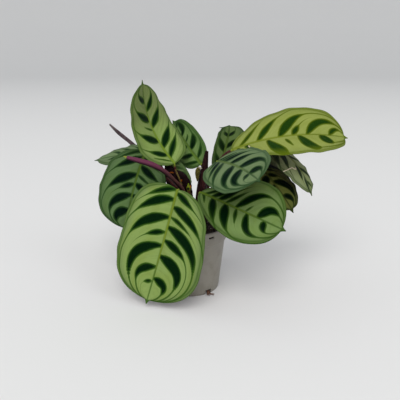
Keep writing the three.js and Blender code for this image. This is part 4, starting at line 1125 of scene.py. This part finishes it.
# an old olive flap of sheath, bleached at its end, still stands on the right shoot
DRY_FLAP = [(5.6, -2.5, 83, 0.4), (5.6, -2.5, 85.5, 1.1), (5.6, -2.5, 88, 1.6), (6, -2.5, 91, 1.8),
            (7, -2, 92.8, 1.2), (8.8, 0.5, 92, 0.7)]
flap_skin = stem_material("flap_skin", srgb(46, 42, 14), srgb(96, 88, 38), srgb(196, 190, 170), lines=6.0,
                          tip=0.8, start=0.72, gloss=0.55, relief=0.0002)
dry_flap = rod_mesh("dry_flap", DRY_FLAP, sides=24, rings=56, swell=flattened)
set_piece(dry_flap, "stalks_right", "stalk", flap_skin)


# Rolled leaves
# Two new leaves still rolled up tight, maroon underside outwards: each is one blade wound two
# and a half times round itself, its free margin running down it as a slow spiral step.
ROLL_FRONT = [(-6, -5, 31, 2.4), (-5.5, -6, 56, 2.2), (-4.5, -10, 77.5, 1.8), (-11, -14, 87, 1.8),
              (-17.5, -16.5, 94, 2.1), (-26, -19, 99, 2.2), (-35, -20, 102, 2.0), (-42, -20, 104, 1.6)]
ROLL_FRONT_TIP = [(-38, -20, 103, 0.8), (-41, -20, 103.8, 0.9), (-43, -20, 104.5, 0.6),
                  (-44.5, -20, 105, 0.15)]
ROLL_BACK = [(0, 10, 31, 2.4), (-2, 13, 50, 2.4), (-9, 21, 68, 2.4), (-21, 31, 81, 2.2), (-36, 40, 92.5, 2.1),
             (-49.5, 47, 103, 1.9), (-59.5, 50, 111, 1.6), (-66, 51, 117, 0.8)]
ROLL_TURNS = 2.5
ROLL_WINDING = 1.1
ROLL_CORE = 0.22
ROLL_SHEET = 0.11
ROLL_RINGS, ROLL_TURN_STEPS = 150, 30


def rolled_sheet(name, line, seam):
    """A blade wound round itself: a thick sheet bent into a spiral, its seam winding along."""
    bm = sheet(round(ROLL_TURNS * ROLL_TURN_STEPS), ROLL_RINGS, size=0.5, uv_layer="along")
    lower = bm.verts.layers.float.new("lower")
    rows = line_axes(line, ROLL_RINGS)
    for vert in bm.verts:
        wound = vert.co.x + 0.5
        share = vert.co.y + 0.5
        here, radius, side, other, along = rows[round(share * ROLL_RINGS)]
        angle = 2 * math.pi * (ROLL_TURNS * (wound - 1) + seam + ROLL_WINDING * share)
        r = radius * (ROLL_CORE + (1 - ROLL_CORE) * wound)
        if vert.co.z < -0.5:
            r -= ROLL_SHEET * radius
        r *= 1 + 0.008 * math.sin(share * 160) * wound
        # at the tip the inner turns stand out furthest
        stand_out = 0.5 * radius * (1 - wound) if share > 0.999 else 0
        vert.co = (here + (side * math.cos(angle) + other * math.sin(angle)) * r + along * stand_out) * MM
        # how low a point lies on the roll, 0 at its top and 1 at its bottom; the material paints shade on the
        # lower side by it
        vert[lower] = 0.5 - (vert.co.z / MM - here.z) / (2 * radius)
    return finished_mesh(bm, name)


roll_front_skin = stem_material("roll_front_skin", srgb(58, 34, 30), srgb(86, 57, 51), srgb(98, 46, 71),
                                lines=26.0, tip=0.85, start=0.42, length=0.3, relief=0.0001)
# its lower side is darkened to a deep wine red: painted shade, as from light falling from above
skin = Finish(roll_front_skin.node_tree)
skin.lay_over(skin.times(skin.step_up(skin.kept("lower"), 0.32, 0.80), 0.94), srgb(18, 2, 7))
roll_tip_skin = stem_material("roll_tip_skin", srgb(118, 122, 36), srgb(168, 170, 68), lines=8.0,
                              relief=0.0001)
roll_back_skin = stem_material("roll_back_skin", srgb(52, 38, 44), srgb(94, 82, 82), srgb(118, 110, 108),
                               lines=24.0, tip=0.6, relief=0.0001)
set_piece(rolled_sheet("roll_front", ROLL_FRONT, 0.30), "leaf_rolled_front", "rolled_leaf", roll_front_skin)
set_piece(rolled_sheet("roll_back", ROLL_BACK, 0.55), "leaf_rolled_back", "rolled_leaf", roll_back_skin)
roll_tip = rod_mesh("roll_front_tip", ROLL_FRONT_TIP, sides=16, rings=30)
set_piece(roll_tip, "leaf_rolled_front", "rolled_leaf", roll_tip_skin)


# Bud
# A new shoot's point, a pale yellow-green spike of rolled sheaths. It has come up through the
# soil in front of the two shoots, and stands between them.
BUD = [(5, -5, 31, 1.6), (4.5, -5, 58, 1.5), (1, -4.8, 70, 1.2), (-0.5, -4.5, 75.8, 1.2),
       (-0.8, -4.4, 78.4, 1.5), (-0.9, -4.1, 80.3, 0.85), (-0.9, -4, 82, 0.2)]
BUD_MOUTH = Vector((-1.1, -6.0, 78.2)) * MM
bud_skin = stem_material("bud_skin", srgb(44, 30, 16), srgb(84, 66, 30), srgb(102, 118, 22), lines=10.0,
                         tip=1.0, start=0.52)
# the outer sheath has opened a little, and its mouth is painted dark: painted shade inside the opening
skin = Finish(bud_skin.node_tree)
reach = skin.node("VectorMath", operation="DISTANCE")
skin.feed(reach.inputs[0], skin.object_place())
reach.inputs[1].default_value = BUD_MOUTH
skin.lay_over(skin.step_down(reach.outputs["Value"], 0.0006, 0.0017), srgb(16, 12, 6))
bud_spike = rod_mesh("bud_spike", BUD, sides=28, rings=80, swell=clasping(seam=0.1, step=0.14))
set_piece(bud_spike, "bud", "bud", bud_skin)
